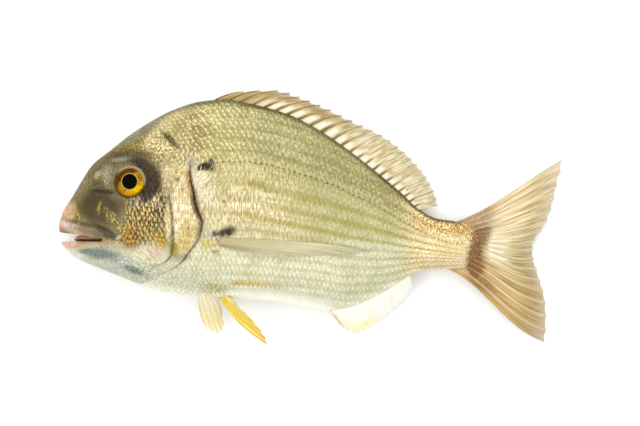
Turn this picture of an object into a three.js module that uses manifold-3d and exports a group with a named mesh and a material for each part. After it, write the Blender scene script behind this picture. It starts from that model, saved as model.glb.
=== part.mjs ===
// A whole raw gilt-head sea bream, lying on its right side with its left side up.
// Millimetres. +X runs from the snout to the tail, +Y from the belly to the back, +Z up from the
// surface that the fish lies on. The origin is on that surface, below the middle of the fish.
//
// Places on the fish are given as the makers of fish models do: s, the distance behind the snout tip,
// and h, the height above the line that halves the fish's full depth with its fins spread.
// The body and its fins grow as one piece, so they are one solid; each eyeball sits in its own socket.

import * as THREE from "three";
import { mergeVertices } from "three/addons/utils/BufferGeometryUtils.js";
import Module from "manifold-3d";

// ---- Driving dimensions ----------------------------------------------------------------------

const TOTAL_LENGTH = 300; // snout tip to the tip of the tail's upper lobe
const BODY_END = 250; // where the flesh runs out between the tail rays
const LEFT = 1; // the side that lies up
const RIGHT = -1;

const SNOUT_H = -8; // height of the foremost point of the snout
const RING_POINTS = 46; // points round the body, half of them on each side
const RING_EVENING = 0.2; // moves ring points from the back and belly edges onto the flank

const EYE = { s: 42.9, h: 20.7, radius: 9.7, depth: 7.5, bulge: 2.4, tilt: 0.55, gap: 0.3 };

const GILL_EDGE_S = 80; // where the gill cover's rear edge lies on a straight-ringed body
const GILL_PLATE = 1.5; // how far the gill cover stands above the shoulder
const PREOPERCLE_STEP = 0.8; // the cheek plate's own edge, in front of the gill cover

const GAPE_END = 24; // how far back the mouth opens
const TONGUE = { tipS: 11.5, length: 30, width: 12, depth: 7, h: -12.8 };
const NOSTRILS = [
  { s: 21.5, h: 16, length: 1.8, height: 1.6 },
  { s: 27, h: 17.2, length: 4.2, height: 1.7 },
];

const DORSAL = { spines: 11, softRays: 13, firstS: 90.5, spineGap: 7, softGap: 5.3, gapLoss: 0.21 };
const ANAL = { spines: 3, softRays: 11, firstS: 160.5, lastS: 207 };
const TAIL_RAYS = 17;
const PECTORAL_RAYS = 7;
const PELVIC_RAYS = 6;

// ---- Curves through knots --------------------------------------------------------------------

// A smooth function through (x, y) knots that never overshoots them.
function through(knots) {
  const xs = knots.map((k) => k[0]);
  const ys = knots.map((k) => k[1]);
  const rise = xs.slice(1).map((x, i) => (ys[i + 1] - ys[i]) / (x - xs[i]));
  const slope = xs.map((_, i) => {
    const before = rise[Math.max(i - 1, 0)];
    const after = rise[Math.min(i, rise.length - 1)];
    return before * after <= 0 ? 0 : (2 * before * after) / (before + after);
  });
  return (x) => {
    if (x <= xs[0]) return ys[0];
    if (x >= xs[xs.length - 1]) return ys[ys.length - 1];
    let i = 0;
    while (x > xs[i + 1]) i++;
    const step = xs[i + 1] - xs[i];
    const t = (x - xs[i]) / step;
    const u = 1 - t;
    return (
      u * u * (1 + 2 * t) * ys[i] + t * t * (3 - 2 * t) * ys[i + 1] +
      step * t * u * (u * slope[i] - t * slope[i + 1])
    );
  };
}

// A smooth path through (s, h) points, evenly spaced over 0 to 1.
function path(points) {
  const spline = new THREE.SplineCurve(points.map(([s, h]) => new THREE.Vector2(s, h)));
  return (t) => spline.getPoint(Math.min(Math.max(t, 0), 1));
}

const ramp = (x, from, to) => THREE.MathUtils.smoothstep(x, from, to);
const mix = THREE.MathUtils.lerp;

// ---- The body's form -------------------------------------------------------------------------

const backLine = through([
  [0, SNOUT_H], [0.3, -3.5], [1.2, 0.2], [3.5, 5.3], [8, 12], [14.5, 23], [20, 31], [30, 39], [42, 48.5],
  [54, 56.3], [68, 63.5], [84, 68.4], [98, 69.6], [112, 67.4], [134, 61.5], [150, 54], [167, 43],
  [186, 28.5], [203, 14.2], [213, 5], [224, -0.8], [233, -2.2], [242, -4], [BODY_END, -12],
]);
const bellyLine = through([
  [0, SNOUT_H], [0.5, -13], [1.8, -16.2], [4, -19], [8, -23], [14, -26.2], [24, -30.2], [36, -35], [50, -40.6],
  [64, -44.4], [80, -46.4], [105, -48.2], [125, -49.4], [142, -51.8], [160, -55], [172, -53.4],
  [186, -47.8], [200, -39.8], [209, -34], [218, -31.3], [229, -31], [238, -31], [BODY_END, -22],
]);
const widestLine = through([
  [0, SNOUT_H], [10, -6], [30, 2], [60, 7], [100, 8], [140, 3], [180, -6], [215, -14], [BODY_END, -17],
]);
const halfWidth = through([
  [0, 0], [0.3, 2.8], [1.2, 4.9], [3.5, 6.9], [7, 8.3], [13, 10], [22, 11.9], [32, 13.8], [44, 15.9], [57, 17.5],
  [72, 18.7], [88, 19.6], [104, 20], [122, 19.7], [142, 18.1], [162, 15.5], [182, 12.2], [200, 9.3],
  [215, 7.1], [230, 5.1], [238, 3.6], [244, 1.9], [248, 0.9], [BODY_END, 0],
]);
// Height of the middle plane: the belly bulge rests on the surface, and the snout and tail sag towards it.
const middleZ = through([
  [0, 15.5], [42, 18.2], [90, 18.9], [125, 18.7], [160, 16.8], [200, 13], [240, 9], [270, 6], [TOTAL_LENGTH, 4],
]);
// Over 1 the section has a keel there, under 1 it is blunt.
const backKeel = through([[0, 0.75], [40, 0.88], [80, 1.05], [130, 1.18], [220, 1], [BODY_END, 0.9]]);
const bellyKeel = through([[0, 0.75], [60, 0.95], [120, 1], [160, 1.3], [215, 1], [BODY_END, 0.9]]);

// How far round the section height h lies: 0 on the back, a half turn on the belly.
function turnAt(s, h) {
  const middle = widestLine(s);
  const reach = h > middle ? backLine(s) - middle : middle - bellyLine(s);
  return Math.acos(THREE.MathUtils.clamp((h - middle) / Math.max(reach, 1e-6), -1, 1));
}

function halfThickness(s, turn) {
  const keel = turn < Math.PI / 2 ? backKeel(s) : bellyKeel(s);
  return halfWidth(s) * Math.sin(turn) ** keel;
}

// ---- Relief of the head ----------------------------------------------------------------------

const gillEdge = through([
  [-48, 30], [-39, 51], [-35.5, 60], [-31.5, 67], [-26.5, 73], [-20.6, 77.3], [-16.4, 80.6], [-10.7, 83.7],
  [-3.5, 84.9], [3.6, 82.2], [9.8, 80.6], [15, 79.9], [21, 78.4], [28, 77.8], [60, 77.8],
]);
const cheekEdge = through([
  [-36, 36], [-31, 54], [-28.9, 58], [-26.4, 63.5], [-21.4, 66.8], [-11, 67.9], [-2.7, 67.5], [6, 66.4],
  [14, 65.4], [40, 65],
]);
const jawLine = through([[0, -9.4], [9, -10.6], [20, -12], [28, -14.4], [36.5, -12.5]]); // lower edge of the upper lip
const lipTop = through([[0, -1.5], [8, -3.9], [19, -5.7], [31, -7.8], [37, -12]]);
const lowerLipTop = through([[0, -14.5], [6, -13.3], [22, -13.6], [36, -16]]);
const lowerLipFoot = through([[0, -18], [8, -19.5], [22, -17.8], [36, -17]]);

// 1 between two heights, falling to 0 over the given softness outside them.
const band = (h, low, high, soft) => ramp(h, low - soft, low) * (1 - ramp(h, high, high + soft));

function relief(s, h) {
  const coverHeight = band(h, -26, 26, 11);
  const behindGill = s - gillEdge(h);
  const gillPlate = (1 - ramp(behindGill, -0.5, 0.7)) * ramp(s, 30, 62) * GILL_PLATE;
  const gillGroove = -0.7 * ramp(behindGill, 0, 0.8) * (1 - ramp(behindGill, 0.8, 5));
  const behindCheek = s - cheekEdge(h);
  const cheekHeight = band(h, -24, 10, 8);
  const cheekPlate = (1 - ramp(behindCheek, -0.4, 0.7)) * ramp(s, 26, 50) * PREOPERCLE_STEP;
  const alongJaw = 1 - ramp(s, 35, 39);
  const upperLip = 1.1 * band(h, jawLine(s), lipTop(s), 1.2) * alongJaw;
  const lowerLip = 0.9 * band(h, lowerLipFoot(s), lowerLipTop(s), 1.2) * alongJaw;
  const fromEye = Math.hypot(s - EYE.s, h - EYE.h);
  const orbitRim = 0.5 * Math.exp(-(((fromEye - EYE.radius - 2.2) / 1.8) ** 2));
  return (
    (gillPlate + gillGroove) * coverHeight + cheekPlate * cheekHeight + upperLip + lowerLip + orbitRim
  );
}

// Height of the skin over (s, h) on one side, with the underside pressed flat where it meets the surface.
function skinZ(s, h, side) {
  const turn = turnAt(s, h);
  const thick = halfThickness(s, turn) + relief(s, h) * Math.min(1, 1.6 * Math.sin(turn));
  return Math.max(0, middleZ(s) + side * thick);
}

// ---- Meshes ----------------------------------------------------------------------------------

const wasm = await Module();
wasm.setup();

const place = (s, h, z) => [s - TOTAL_LENGTH / 2, h, z];

function solidOf(geometry) {
  const bare = geometry.index ? geometry.toNonIndexed() : geometry.clone();
  bare.deleteAttribute("normal");
  bare.deleteAttribute("uv");
  const merged = mergeVertices(bare, 1e-4);
  return new wasm.Manifold(
    new wasm.Mesh({
      numProp: 3,
      vertProperties: new Float32Array(merged.attributes.position.array),
      triVerts: new Uint32Array(merged.index.array),
    }),
  );
}

function geometryOf(solid) {
  const mesh = solid.getMesh();
  const geometry = new THREE.BufferGeometry();
  const points = new Float32Array(mesh.numVert * 3);
  for (let i = 0; i < mesh.numVert; i++)
    for (let k = 0; k < 3; k++) points[3 * i + k] = mesh.vertProperties[i * mesh.numProp + k];
  geometry.setAttribute("position", new THREE.BufferAttribute(points, 3));
  geometry.setIndex(new THREE.BufferAttribute(new Uint32Array(mesh.triVerts), 1));
  geometry.computeVertexNormals();
  return geometry;
}

function geometryFrom(points, faces) {
  const geometry = new THREE.BufferGeometry();
  geometry.setAttribute("position", new THREE.Float32BufferAttribute(points.flat(), 3));
  geometry.setIndex(faces.flat());
  return geometry;
}

// Splits a face of four corners along its first diagonal.
const quad = (a, b, c, d) => [[a, b, c], [a, c, d]];

// Where the rings stand, closer together over the head and at the plates' edges.
function ringStations() {
  const stations = [0.4, 1.2, 2.4, 4.2, 6.6];
  for (let s = 9.8; s < 62; s += 4) stations.push(s);
  stations.push(63.2, 65.4, 66.8, 68.6, 72, 75.6, 78.4, 79.6, 80.6, 83, 87, 92, 97);
  for (let s = 102; s < 214; s += 6.2) stations.push(s);
  stations.push(217.5, 222, 226.5, 231, 235, 239, 243, 246.5, 249);
  return stations;
}

// The rings bow with the gill cover's edge, and straighten towards the snout and the trunk.
function bowedStation(s, h) {
  const share = ramp(s, 30, 70) * (1 - ramp(s, 88, 125));
  const sweep = Math.max(gillEdge(h) - GILL_EDGE_S, -20);
  return s + share * sweep;
}

function bodySolid() {
  const stations = ringStations();
  const points = [place(0, SNOUT_H, middleZ(0))];
  for (const station of stations)
    for (let i = 0; i < RING_POINTS; i++) {
      const share = (2 * i) / RING_POINTS;
      const side = share <= 1 ? LEFT : RIGHT;
      const even = share <= 1 ? share : 2 - share;
      const turn = Math.PI * even + RING_EVENING * Math.sin(2 * Math.PI * even);
      const reach = (s) => (Math.cos(turn) > 0 ? backLine(s) : 2 * widestLine(s) - bellyLine(s)) - widestLine(s);
      const s = bowedStation(station, widestLine(station) + reach(station) * Math.cos(turn));
      const h = widestLine(s) + reach(s) * Math.cos(turn);
      const onEdge = i === 0 || 2 * i === RING_POINTS;
      points.push(place(s, h, onEdge ? middleZ(s) : skinZ(s, h, side)));
    }
  points.push(place(BODY_END, widestLine(BODY_END), middleZ(BODY_END)));
  const faces = [];
  const at = (ring, i) => 1 + ring * RING_POINTS + (i % RING_POINTS);
  const last = points.length - 1;
  for (let i = 0; i < RING_POINTS; i++) {
    faces.push([0, at(0, i + 1), at(0, i)]);
    faces.push([last, at(stations.length - 1, i), at(stations.length - 1, i + 1)]);
    for (let ring = 0; ring + 1 < stations.length; ring++)
      faces.push(...quad(at(ring, i), at(ring, i + 1), at(ring + 1, i + 1), at(ring + 1, i)));
  }
  return solidOf(geometryFrom(points, faces));
}

// A fin is a fan of rays between a root path and a tip path, with thinner, shorter membrane between the rays.
//   rays      how many there are
//   steps     how many faces lie along each ray
//   root(u)   where a ray leaves the body, and tip(u) where it ends, for u from 0 to 1 over the fan
//   bend(u)   how far a ray bends sideways in its inner and its outer half, in mm
//   notch(u)  how much shorter the membrane is than the rays beside it, as a share
//   faces(s, h, u, v, ridge)   the two heights [upper, lower] of the fin there; ridge is 1 on a ray and 0 beside it
function finSolid({ rays, steps, root, tip, bend, notch, faces: heights }) {
  const columns = 2 * rays - 1;
  const points = [];
  for (let column = 0; column < columns; column++) {
    const u = column / (columns - 1);
    const ridge = column % 2 ? 0 : 1;
    const start = root(u);
    const end = tip(u).clone().lerp(start, ridge ? 0 : notch(u));
    const across = new THREE.Vector2(start.y - end.y, end.x - start.x).normalize();
    const [inner, outer] = bend(u);
    for (let row = 0; row <= steps; row++) {
      const v = row / steps;
      const aside = 6.75 * v * (1 - v) * (inner * (1 - v) + outer * v);
      const p = start.clone().lerp(end, v).addScaledVector(across, aside);
      const [upper, lower] = heights(p.x, p.y, u, v, ridge);
      points.push(place(p.x, p.y, upper), place(p.x, p.y, lower));
    }
  }
  const at = (column, row, lower) => 2 * (column * (steps + 1) + row) + lower;
  const faces = [];
  for (let c = 0; c + 1 < columns; c++) {
    for (let r = 0; r < steps; r++) {
      faces.push(...quad(at(c, r, 0), at(c, r + 1, 0), at(c + 1, r + 1, 0), at(c + 1, r, 0)));
      faces.push(...quad(at(c, r, 1), at(c + 1, r, 1), at(c + 1, r + 1, 1), at(c, r + 1, 1)));
    }
    faces.push(...quad(at(c, 0, 0), at(c + 1, 0, 0), at(c + 1, 0, 1), at(c, 0, 1)));
    faces.push(...quad(at(c, steps, 0), at(c, steps, 1), at(c + 1, steps, 1), at(c + 1, steps, 0)));
  }
  for (let r = 0; r < steps; r++) {
    faces.push(...quad(at(0, r, 0), at(0, r, 1), at(0, r + 1, 1), at(0, r + 1, 0)));
    const c = columns - 1;
    faces.push(...quad(at(c, r, 0), at(c, r + 1, 0), at(c, r + 1, 1), at(c, r, 1)));
  }
  const made = solidOf(geometryFrom(points, faces));
  if (made.volume() > 0) return made;
  return solidOf(geometryFrom(points, faces.map(([a, b, c]) => [a, c, b])));
}

// Heights of a fin that stands in a plane: a middle height with half of the thickness on each side of it.
function inPlane(middle, thickRoot, thickEdge, ridgeExtra) {
  return (s, h, u, v, ridge) => {
    const half = mix(thickRoot, thickEdge, v) + ridgeExtra * ridge * (1 - 0.6 * v);
    const z = Math.max(middle(s, h, u, v), half);
    return [z + half, z - half];
  };
}

function dorsalFin() {
  const { spines, softRays, firstS, spineGap, softGap, gapLoss } = DORSAL;
  const rays = spines + softRays;
  // Spines stand evenly; the soft rays draw together towards the rear.
  const rootS = (u) => {
    const i = u * (rays - 1);
    const soft = Math.max(0, i - spines + 1);
    return firstS + spineGap * (i - soft) + softGap * soft - (gapLoss * soft * soft) / 2;
  };
  const root = (u) => new THREE.Vector2(rootS(u), backLine(rootS(u)) - 3);
  const tip = path([
    [109.5, 74.2], [130.5, 74.9], [143.8, 70.8], [156.5, 65.6], [169.7, 59.2], [182.7, 53], [194.2, 46.9],
    [203.4, 39.8], [211.4, 32.2], [217.4, 24.6], [222, 16.2], [224.9, 6.8],
  ]);
  return finSolid({
    rays,
    steps: 4,
    root,
    tip,
    bend: (u) => [mix(1, 0.2, u), mix(1.2, 0.3, u)],
    notch: (u) => (u * (rays - 1) < spines - 0.5 ? 0.12 : 0.03),
    faces: inPlane((s, h, u, v) => middleZ(s) + 1.2 * v * Math.sin(9 * u), 0.8, 0.4, 0.45),
  });
}

function analFin() {
  const { spines, softRays, firstS, lastS } = ANAL;
  const rays = spines + softRays;
  const root = (u) => {
    const s = mix(firstS, lastS, u);
    return new THREE.Vector2(s, bellyLine(s) + 2);
  };
  const tip = path([
    [169.2, -66], [175.5, -69.6], [182, -67.2], [189, -62.8], [196, -57.4], [203, -51], [209, -43.5],
  ]);
  return finSolid({
    rays,
    steps: 4,
    root,
    tip,
    bend: (u) => [mix(-1, 0.5, u), mix(-0.6, 0.5, u)],
    notch: (u) => (u * (rays - 1) < spines - 0.5 ? 0.16 : 0.05),
    faces: inPlane((s, h, u, v) => middleZ(s) - 1.5 * v + 0.6 * v * Math.sin(7 * u), 0.8, 0.4, 0.4),
  });
}

function tailFin() {
  const root = path([[229, -5], [238, -8], [242, -12], [243.5, -16], [242, -21], [238, -26], [229, -30]]);
  const tip = path([
    [300, 34.9], [296.2, 20], [293, 7], [288.8, -4.5], [282.2, -14.5], [281.8, -24], [285.2, -35.5], [288.4, -47],
    [289.6, -61], [288.8, -74.8],
  ]);
  return finSolid({
    rays: TAIL_RAYS,
    steps: 7,
    root,
    tip,
    bend: (u) => [mix(-3.2, 3, u), mix(0.2, -3.6, u)],
    notch: () => 0.02,
    faces: inPlane((s, h, u, v) => middleZ(s) + 1.4 * v * Math.sin(6.5 * u + 0.6), 1.7, 0.4, 0.3),
  });
}

function pelvicFin(side) {
  const left = side === LEFT;
  const root = left ? path([[95.2, -45.6], [98.2, -45.7]]) : path([[82.6, -43.5], [91, -44]]);
  const tip = left
    ? path([[124, -75.6], [122.4, -70.8], [118, -64.8], [111.8, -58], [106, -52.8]])
    : path([[88, -66.8], [92, -68.6], [95.6, -69], [97.6, -65.5], [96.6, -59.5]]);
  const spread = left ? 2.5 : -6;
  return finSolid({
    rays: PELVIC_RAYS,
    steps: 6,
    root,
    tip,
    bend: (u) => (left ? [mix(-2.1, 0.6, u), mix(-1.6, 0.3, u)] : [mix(-1.1, 1.2, u), mix(-1.3, 0.8, u)]),
    notch: () => 0.05,
    faces: inPlane((s, h, u, v) => middleZ(s) + side * 2.5 + spread * v + 1.2 * u, 0.8, 0.4, 0.35),
  });
}

// The pectoral fins lie folded back against the flanks, a little proud of the skin.
function pectoralFin(side) {
  const root = path([[96.5, -12.2], [96, -16], [98.5, -20.6]]);
  const tip = path([[185, -20], [171, -22], [150, -23.2], [129, -26], [106, -26.6]]);
  const proud = 1.1;
  return finSolid({
    rays: PECTORAL_RAYS,
    steps: 9,
    root,
    tip,
    bend: (u) => [mix(0.6, -1.2, u), mix(1.6, -0.8, u)],
    notch: () => 0.01,
    faces: (s, h, u, v, ridge) => {
      const skin = skinZ(s, h, side);
      const out = mix(proud, 0.6, v) + 0.3 * ridge * (1 - v);
      const upper = Math.max(0, skin + side * out);
      const lower = Math.max(0, skin - side * 1.2);
      return side === LEFT ? [upper, lower] : [Math.max(lower, upper + 0.4), upper];
    },
  });
}

// The gape between the lips, with the tongue filling it from a little way behind them.
function gapeSolid() {
  const outline = new THREE.Shape();
  outline.moveTo(-6, -7.4);
  outline.lineTo(1.6, -9.2);
  outline.quadraticCurveTo(11, -10.9, GAPE_END, -13.2);
  outline.lineTo(GAPE_END, -14.2);
  outline.quadraticCurveTo(11, -13, 2.2, -14.5);
  outline.lineTo(-6, -16.5);
  const reach = 40;
  const prism = new THREE.ExtrudeGeometry(outline, { depth: reach, bevelEnabled: false, curveSegments: 5 });
  prism.translate(-TOTAL_LENGTH / 2, 0, 0);
  const tongue = new THREE.SphereGeometry(1, 12, 8);
  tongue.scale(TONGUE.length / 2, TONGUE.depth / 2, TONGUE.width / 2);
  tongue.translate(...place(TONGUE.tipS + TONGUE.length / 2, TONGUE.h, middleZ(TONGUE.tipS)));
  return solidOf(prism).subtract(solidOf(tongue));
}

// The two nostrils on each side, a round one in front of a longer one.
function nostrilSolids(side) {
  return NOSTRILS.map(({ s, h, length, height }) => {
    const hollow = new THREE.SphereGeometry(1, 8, 6);
    hollow.scale(length / 2, height / 2, 1);
    hollow.rotateZ(0.3);
    hollow.translate(...place(s, h, skinZ(s, h, side)));
    return solidOf(hollow);
  });
}

// An eyeball is a disc with a domed front; grown makes the socket that it sits in.
function eyeball(side, grown) {
  const { radius, depth, bulge } = EYE;
  const rim = [];
  const steps = 9;
  for (let i = 0; i <= steps; i++) {
    const turn = (Math.PI * i) / steps - Math.PI / 2;
    const reach = turn > 0 ? bulge : depth;
    rim.push(new THREE.Vector2((radius + grown) * Math.cos(turn), (reach + grown) * Math.sin(turn)));
  }
  rim[0].x = 0;
  rim[steps].x = 0;
  const ball = new THREE.LatheGeometry(rim, 26);
  ball.rotateX((side * Math.PI) / 2);
  const slopeS = (skinZ(EYE.s + 6, EYE.h, LEFT) - skinZ(EYE.s - 6, EYE.h, LEFT)) / 12;
  const slopeH = (skinZ(EYE.s, EYE.h + 6, LEFT) - skinZ(EYE.s, EYE.h - 6, LEFT)) / 12;
  ball.rotateY(-side * EYE.tilt * Math.atan(slopeS));
  ball.rotateX(side * EYE.tilt * Math.atan(slopeH));
  ball.translate(...place(EYE.s, EYE.h, skinZ(EYE.s, EYE.h, side) + side * 0.2));
  return solidOf(ball);
}

// ---- Assembly --------------------------------------------------------------------------------

const skinMaterial = new THREE.MeshStandardMaterial({ color: 0xc9bf8a, roughness: 0.38, metalness: 0.15 });
const eyeMaterial = new THREE.MeshStandardMaterial({ color: 0x8a6a18, roughness: 0.12, metalness: 0 });

function namedMesh(name, solid, material) {
  const mesh = new THREE.Mesh(geometryOf(solid), material);
  mesh.name = name;
  return mesh;
}

function fishSolid() {
  let flesh = bodySolid();
  flesh = flesh.subtract(gapeSolid());
  for (const side of [LEFT, RIGHT]) for (const nostril of nostrilSolids(side)) flesh = flesh.subtract(nostril);
  const fins = [dorsalFin(), analFin(), tailFin()];
  for (const side of [LEFT, RIGHT]) fins.push(pelvicFin(side), pectoralFin(side));
  for (const fin of fins) flesh = flesh.add(fin);
  for (const side of [LEFT, RIGHT]) flesh = flesh.subtract(eyeball(side, EYE.gap));
  return flesh;
}

const bream = new THREE.Group();
bream.add(namedMesh("fish", fishSolid(), skinMaterial));
bream.add(namedMesh("eye_left", eyeball(LEFT, 0), eyeMaterial));
bream.add(namedMesh("eye_right", eyeball(RIGHT, 0), eyeMaterial));

export default bream;
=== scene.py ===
"""A whole raw gilt-head sea bream, lying on its right side with its left side up.

+X runs from the snout to the tail, +Y from the belly to the back and +Z up. Places on the fish are given in
millimetres by s, the distance behind the snout tip, and h, the height above the middle of the fish's depth.
"""

import math

import bpy
import numpy as np
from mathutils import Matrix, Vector
from mathutils.kdtree import KDTree

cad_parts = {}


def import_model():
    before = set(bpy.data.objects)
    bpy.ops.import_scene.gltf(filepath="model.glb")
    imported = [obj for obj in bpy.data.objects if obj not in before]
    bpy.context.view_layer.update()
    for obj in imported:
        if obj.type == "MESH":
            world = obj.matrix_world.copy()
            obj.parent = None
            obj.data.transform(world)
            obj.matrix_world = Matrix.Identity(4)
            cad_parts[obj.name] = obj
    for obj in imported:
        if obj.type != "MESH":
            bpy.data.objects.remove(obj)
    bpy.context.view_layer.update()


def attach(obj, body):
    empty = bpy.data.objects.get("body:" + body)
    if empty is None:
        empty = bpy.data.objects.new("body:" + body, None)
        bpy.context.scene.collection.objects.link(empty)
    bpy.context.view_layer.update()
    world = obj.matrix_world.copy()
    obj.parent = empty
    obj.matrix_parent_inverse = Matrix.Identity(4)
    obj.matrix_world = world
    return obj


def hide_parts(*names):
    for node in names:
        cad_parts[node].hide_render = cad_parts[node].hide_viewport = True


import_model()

# ---- Measures, in mm ---------------------------------------------------------------------------
MM = 0.001
TOTAL_LENGTH = 300.0
BODY_END = 250.0
SNOUT_H = -8.0
LEFT, RIGHT = 1, -1
# The eye: its place, its radius, how deep it sits, how far it bulges, and how much it follows the skin.
EYE = {"s": 42.9, "h": 20.7, "radius": 9.7, "depth": 7.5, "bulge": 2.4, "tilt": 0.55}
GILL_EDGE_S = 80.0
GILL_PLATE = 1.5
PREOPERCLE_STEP = 0.8
SOCKET_DEPTH = 4.5
SCALE_LENGTH = 3.2  # from one scale to the next along a row
ROW_WIDTH = 2.65  # from one row of scales to the next
SCALE_LIFT = 0.16  # how far a scale's free edge stands up
SCALE_REACH = 1.1  # half the width of a scale, in rows
SCALE_ARCH = 0.9  # how far its rounded edge stands out, in scale lengths
AROUND_TRUNK = 324
AROUND_HEAD = 288

# ---- Curves through knots ----------------------------------------------------------------------


def through(*knots):
    """A smooth function through (x, y) knots that never overshoots them."""
    xs = np.array([k[0] for k in knots], float)
    ys = np.array([k[1] for k in knots], float)
    rise = np.diff(ys) / np.diff(xs)
    before = np.concatenate([rise[:1], rise])
    after = np.concatenate([rise, rise[-1:]])
    product = before * after
    slope = np.where(product <= 0, 0, 2 * product / np.where(before + after == 0, 1, before + after))

    def curve(x):
        x = np.clip(np.asarray(x, float), xs[0], xs[-1])
        i = np.clip(np.searchsorted(xs, x) - 1, 0, len(xs) - 2)
        step = xs[i + 1] - xs[i]
        t = (x - xs[i]) / step
        u = 1 - t
        ends = u * u * (1 + 2 * t) * ys[i] + t * t * (3 - 2 * t) * ys[i + 1]
        return ends + step * t * u * (u * slope[i] - t * slope[i + 1])

    return curve


def path(*points):
    """A smooth path through (s, h) points, for a place from 0 to 1 along it."""
    spots = np.array(points, float)
    last = len(spots) - 1

    def curve(t):
        place = np.clip(np.asarray(t, float), 0, 1) * last
        i = np.minimum(place.astype(int), last - 1)
        w = (place - i)[..., None]
        a, b = spots[np.maximum(i - 1, 0)], spots[i]
        c, d = spots[i + 1], spots[np.minimum(i + 2, last)]
        square, cube = 2 * a - 5 * b + 4 * c - d, 3 * b - a - 3 * c + d
        return 0.5 * (2 * b + (c - a) * w + square * w**2 + cube * w**3)

    return curve


def ramp(x, start, end):
    """0 before start, 1 after end and smooth between."""
    t = np.clip((x - start) / (end - start), 0, 1)
    return t * t * (3 - 2 * t)


def mix(a, b, t):
    return a + (b - a) * t


def band(h, low, high, soft):
    """1 between two heights, falling to 0 over the given softness outside them."""
    return ramp(h, low - soft, low) * (1 - ramp(h, high, high + soft))


# ---- The body's form ---------------------------------------------------------------------------
back_line = through(
    (0, SNOUT_H), (0.3, -3.5), (1.2, 0.2), (3.5, 5.3), (8, 12), (14.5, 23), (20, 31), (30, 39), (42, 48.5),
    (54, 56.3), (68, 63.5), (84, 68.4), (98, 69.6), (112, 67.4), (134, 61.5), (150, 54), (167, 43),
    (186, 28.5), (203, 14.2), (213, 5), (224, -0.8), (233, -2.2), (242, -4), (BODY_END, -12),
)
belly_line = through(
    (0, SNOUT_H), (0.5, -13), (1.8, -16.2), (4, -19), (8, -23), (14, -26.2), (24, -30.2), (36, -35),
    (50, -40.6), (64, -44.4), (80, -46.4), (105, -48.2), (125, -49.4), (142, -51.8), (160, -55),
    (172, -53.4), (186, -47.8), (200, -39.8), (209, -34), (218, -31.3), (229, -31), (238, -31),
    (BODY_END, -22),
)
widest_line = through(
    (0, SNOUT_H), (10, -6), (30, 2), (60, 7), (100, 8), (140, 3), (180, -6), (215, -14), (BODY_END, -17),
)
half_width = through(
    (0, 0), (0.3, 2.8), (1.2, 4.9), (3.5, 6.9), (7, 8.3), (13, 10), (22, 11.9), (32, 13.8), (44, 15.9),
    (57, 17.5), (72, 18.7), (88, 19.6), (104, 20), (122, 19.7), (142, 18.1), (162, 15.5), (182, 12.2),
    (200, 9.3), (215, 7.1), (230, 5.1), (238, 3.6), (244, 1.9), (248, 0.9), (BODY_END, 0),
)
middle_z = through(
    (0, 15.5), (42, 18.2), (90, 18.9), (125, 18.7), (160, 16.8), (200, 13), (240, 9), (270, 6),
    (TOTAL_LENGTH, 4),
)
back_keel = through((0, 0.75), (40, 0.88), (80, 1.05), (130, 1.18), (220, 1), (BODY_END, 0.9))
belly_keel = through((0, 0.75), (60, 0.95), (120, 1), (160, 1.3), (215, 1), (BODY_END, 0.9))
lateral_line = through(
    (80, 29), (92.5, 32.2), (108.4, 32.6), (120.4, 31.3), (132.6, 28.6), (144.7, 24.9), (161.2, 19.3),
    (173.1, 13.6), (185.3, 8.1), (198, 0.9), (208.1, -5), (219.3, -11), (227.7, -14.2), (234.6, -15.8),
    (BODY_END, -17),
)


def edge_reach(s, on_back):
    """From the widest line to the back line, or to the belly line."""
    return np.where(on_back, back_line(s) - widest_line(s), widest_line(s) - belly_line(s))


def turn_at(s, h):
    """How far round the section height h lies: 0 on the back and half a turn on the belly."""
    middle = widest_line(s)
    reach = edge_reach(s, h > middle)
    return np.arccos(np.clip((h - middle) / np.maximum(reach, 1e-6), -1, 1))


def half_thickness(s, turn):
    """How far the skin stands from the fish's middle. The keels make the back and belly sharp or round."""
    keel = np.where(turn < math.pi / 2, back_keel(s), belly_keel(s))
    return half_width(s) * np.maximum(np.sin(turn), 0) ** keel


def depth_share(s, h):
    """0 on the belly line and 1 on the back line."""
    return (h - belly_line(s)) / np.maximum(back_line(s) - belly_line(s), 1e-3)


def from_eye(s, h):
    """Distance from the middle of the eye."""
    return np.hypot(s - EYE["s"], h - EYE["h"])


# ---- Relief of the head ------------------------------------------------------------------------
gill_edge = through(
    (-48, 30), (-39, 51), (-35.5, 60), (-31.5, 67), (-26.5, 73), (-20.6, 77.3), (-16.4, 80.6),
    (-10.7, 83.7), (-3.5, 84.9), (3.6, 82.2), (9.8, 80.6), (15, 79.9), (21, 78.4), (28, 77.8), (60, 77.8),
)
cheek_edge = through(
    (-36, 36), (-31, 54), (-28.9, 58), (-26.4, 63.5), (-21.4, 66.8), (-11, 67.9), (-2.7, 67.5), (6, 66.4),
    (14, 65.4), (40, 65),
)
jaw_line = through((0, -9.4), (9, -10.6), (20, -12.6), (28, -14.4), (36.5, -12.5))
lip_top = through((0, -1.5), (8, -3.9), (19, -5.7), (31, -7.8), (37, -12))
lower_lip_top = through((0, -13.9), (6, -13.3), (22, -13.8), (36, -16))
lower_lip_foot = through((0, -18), (8, -19.5), (22, -17.8), (36, -17))


def cover_share(h):
    """How much of the gill cover's free edge stands at this height."""
    return band(h, -26, 26, 11)


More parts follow.
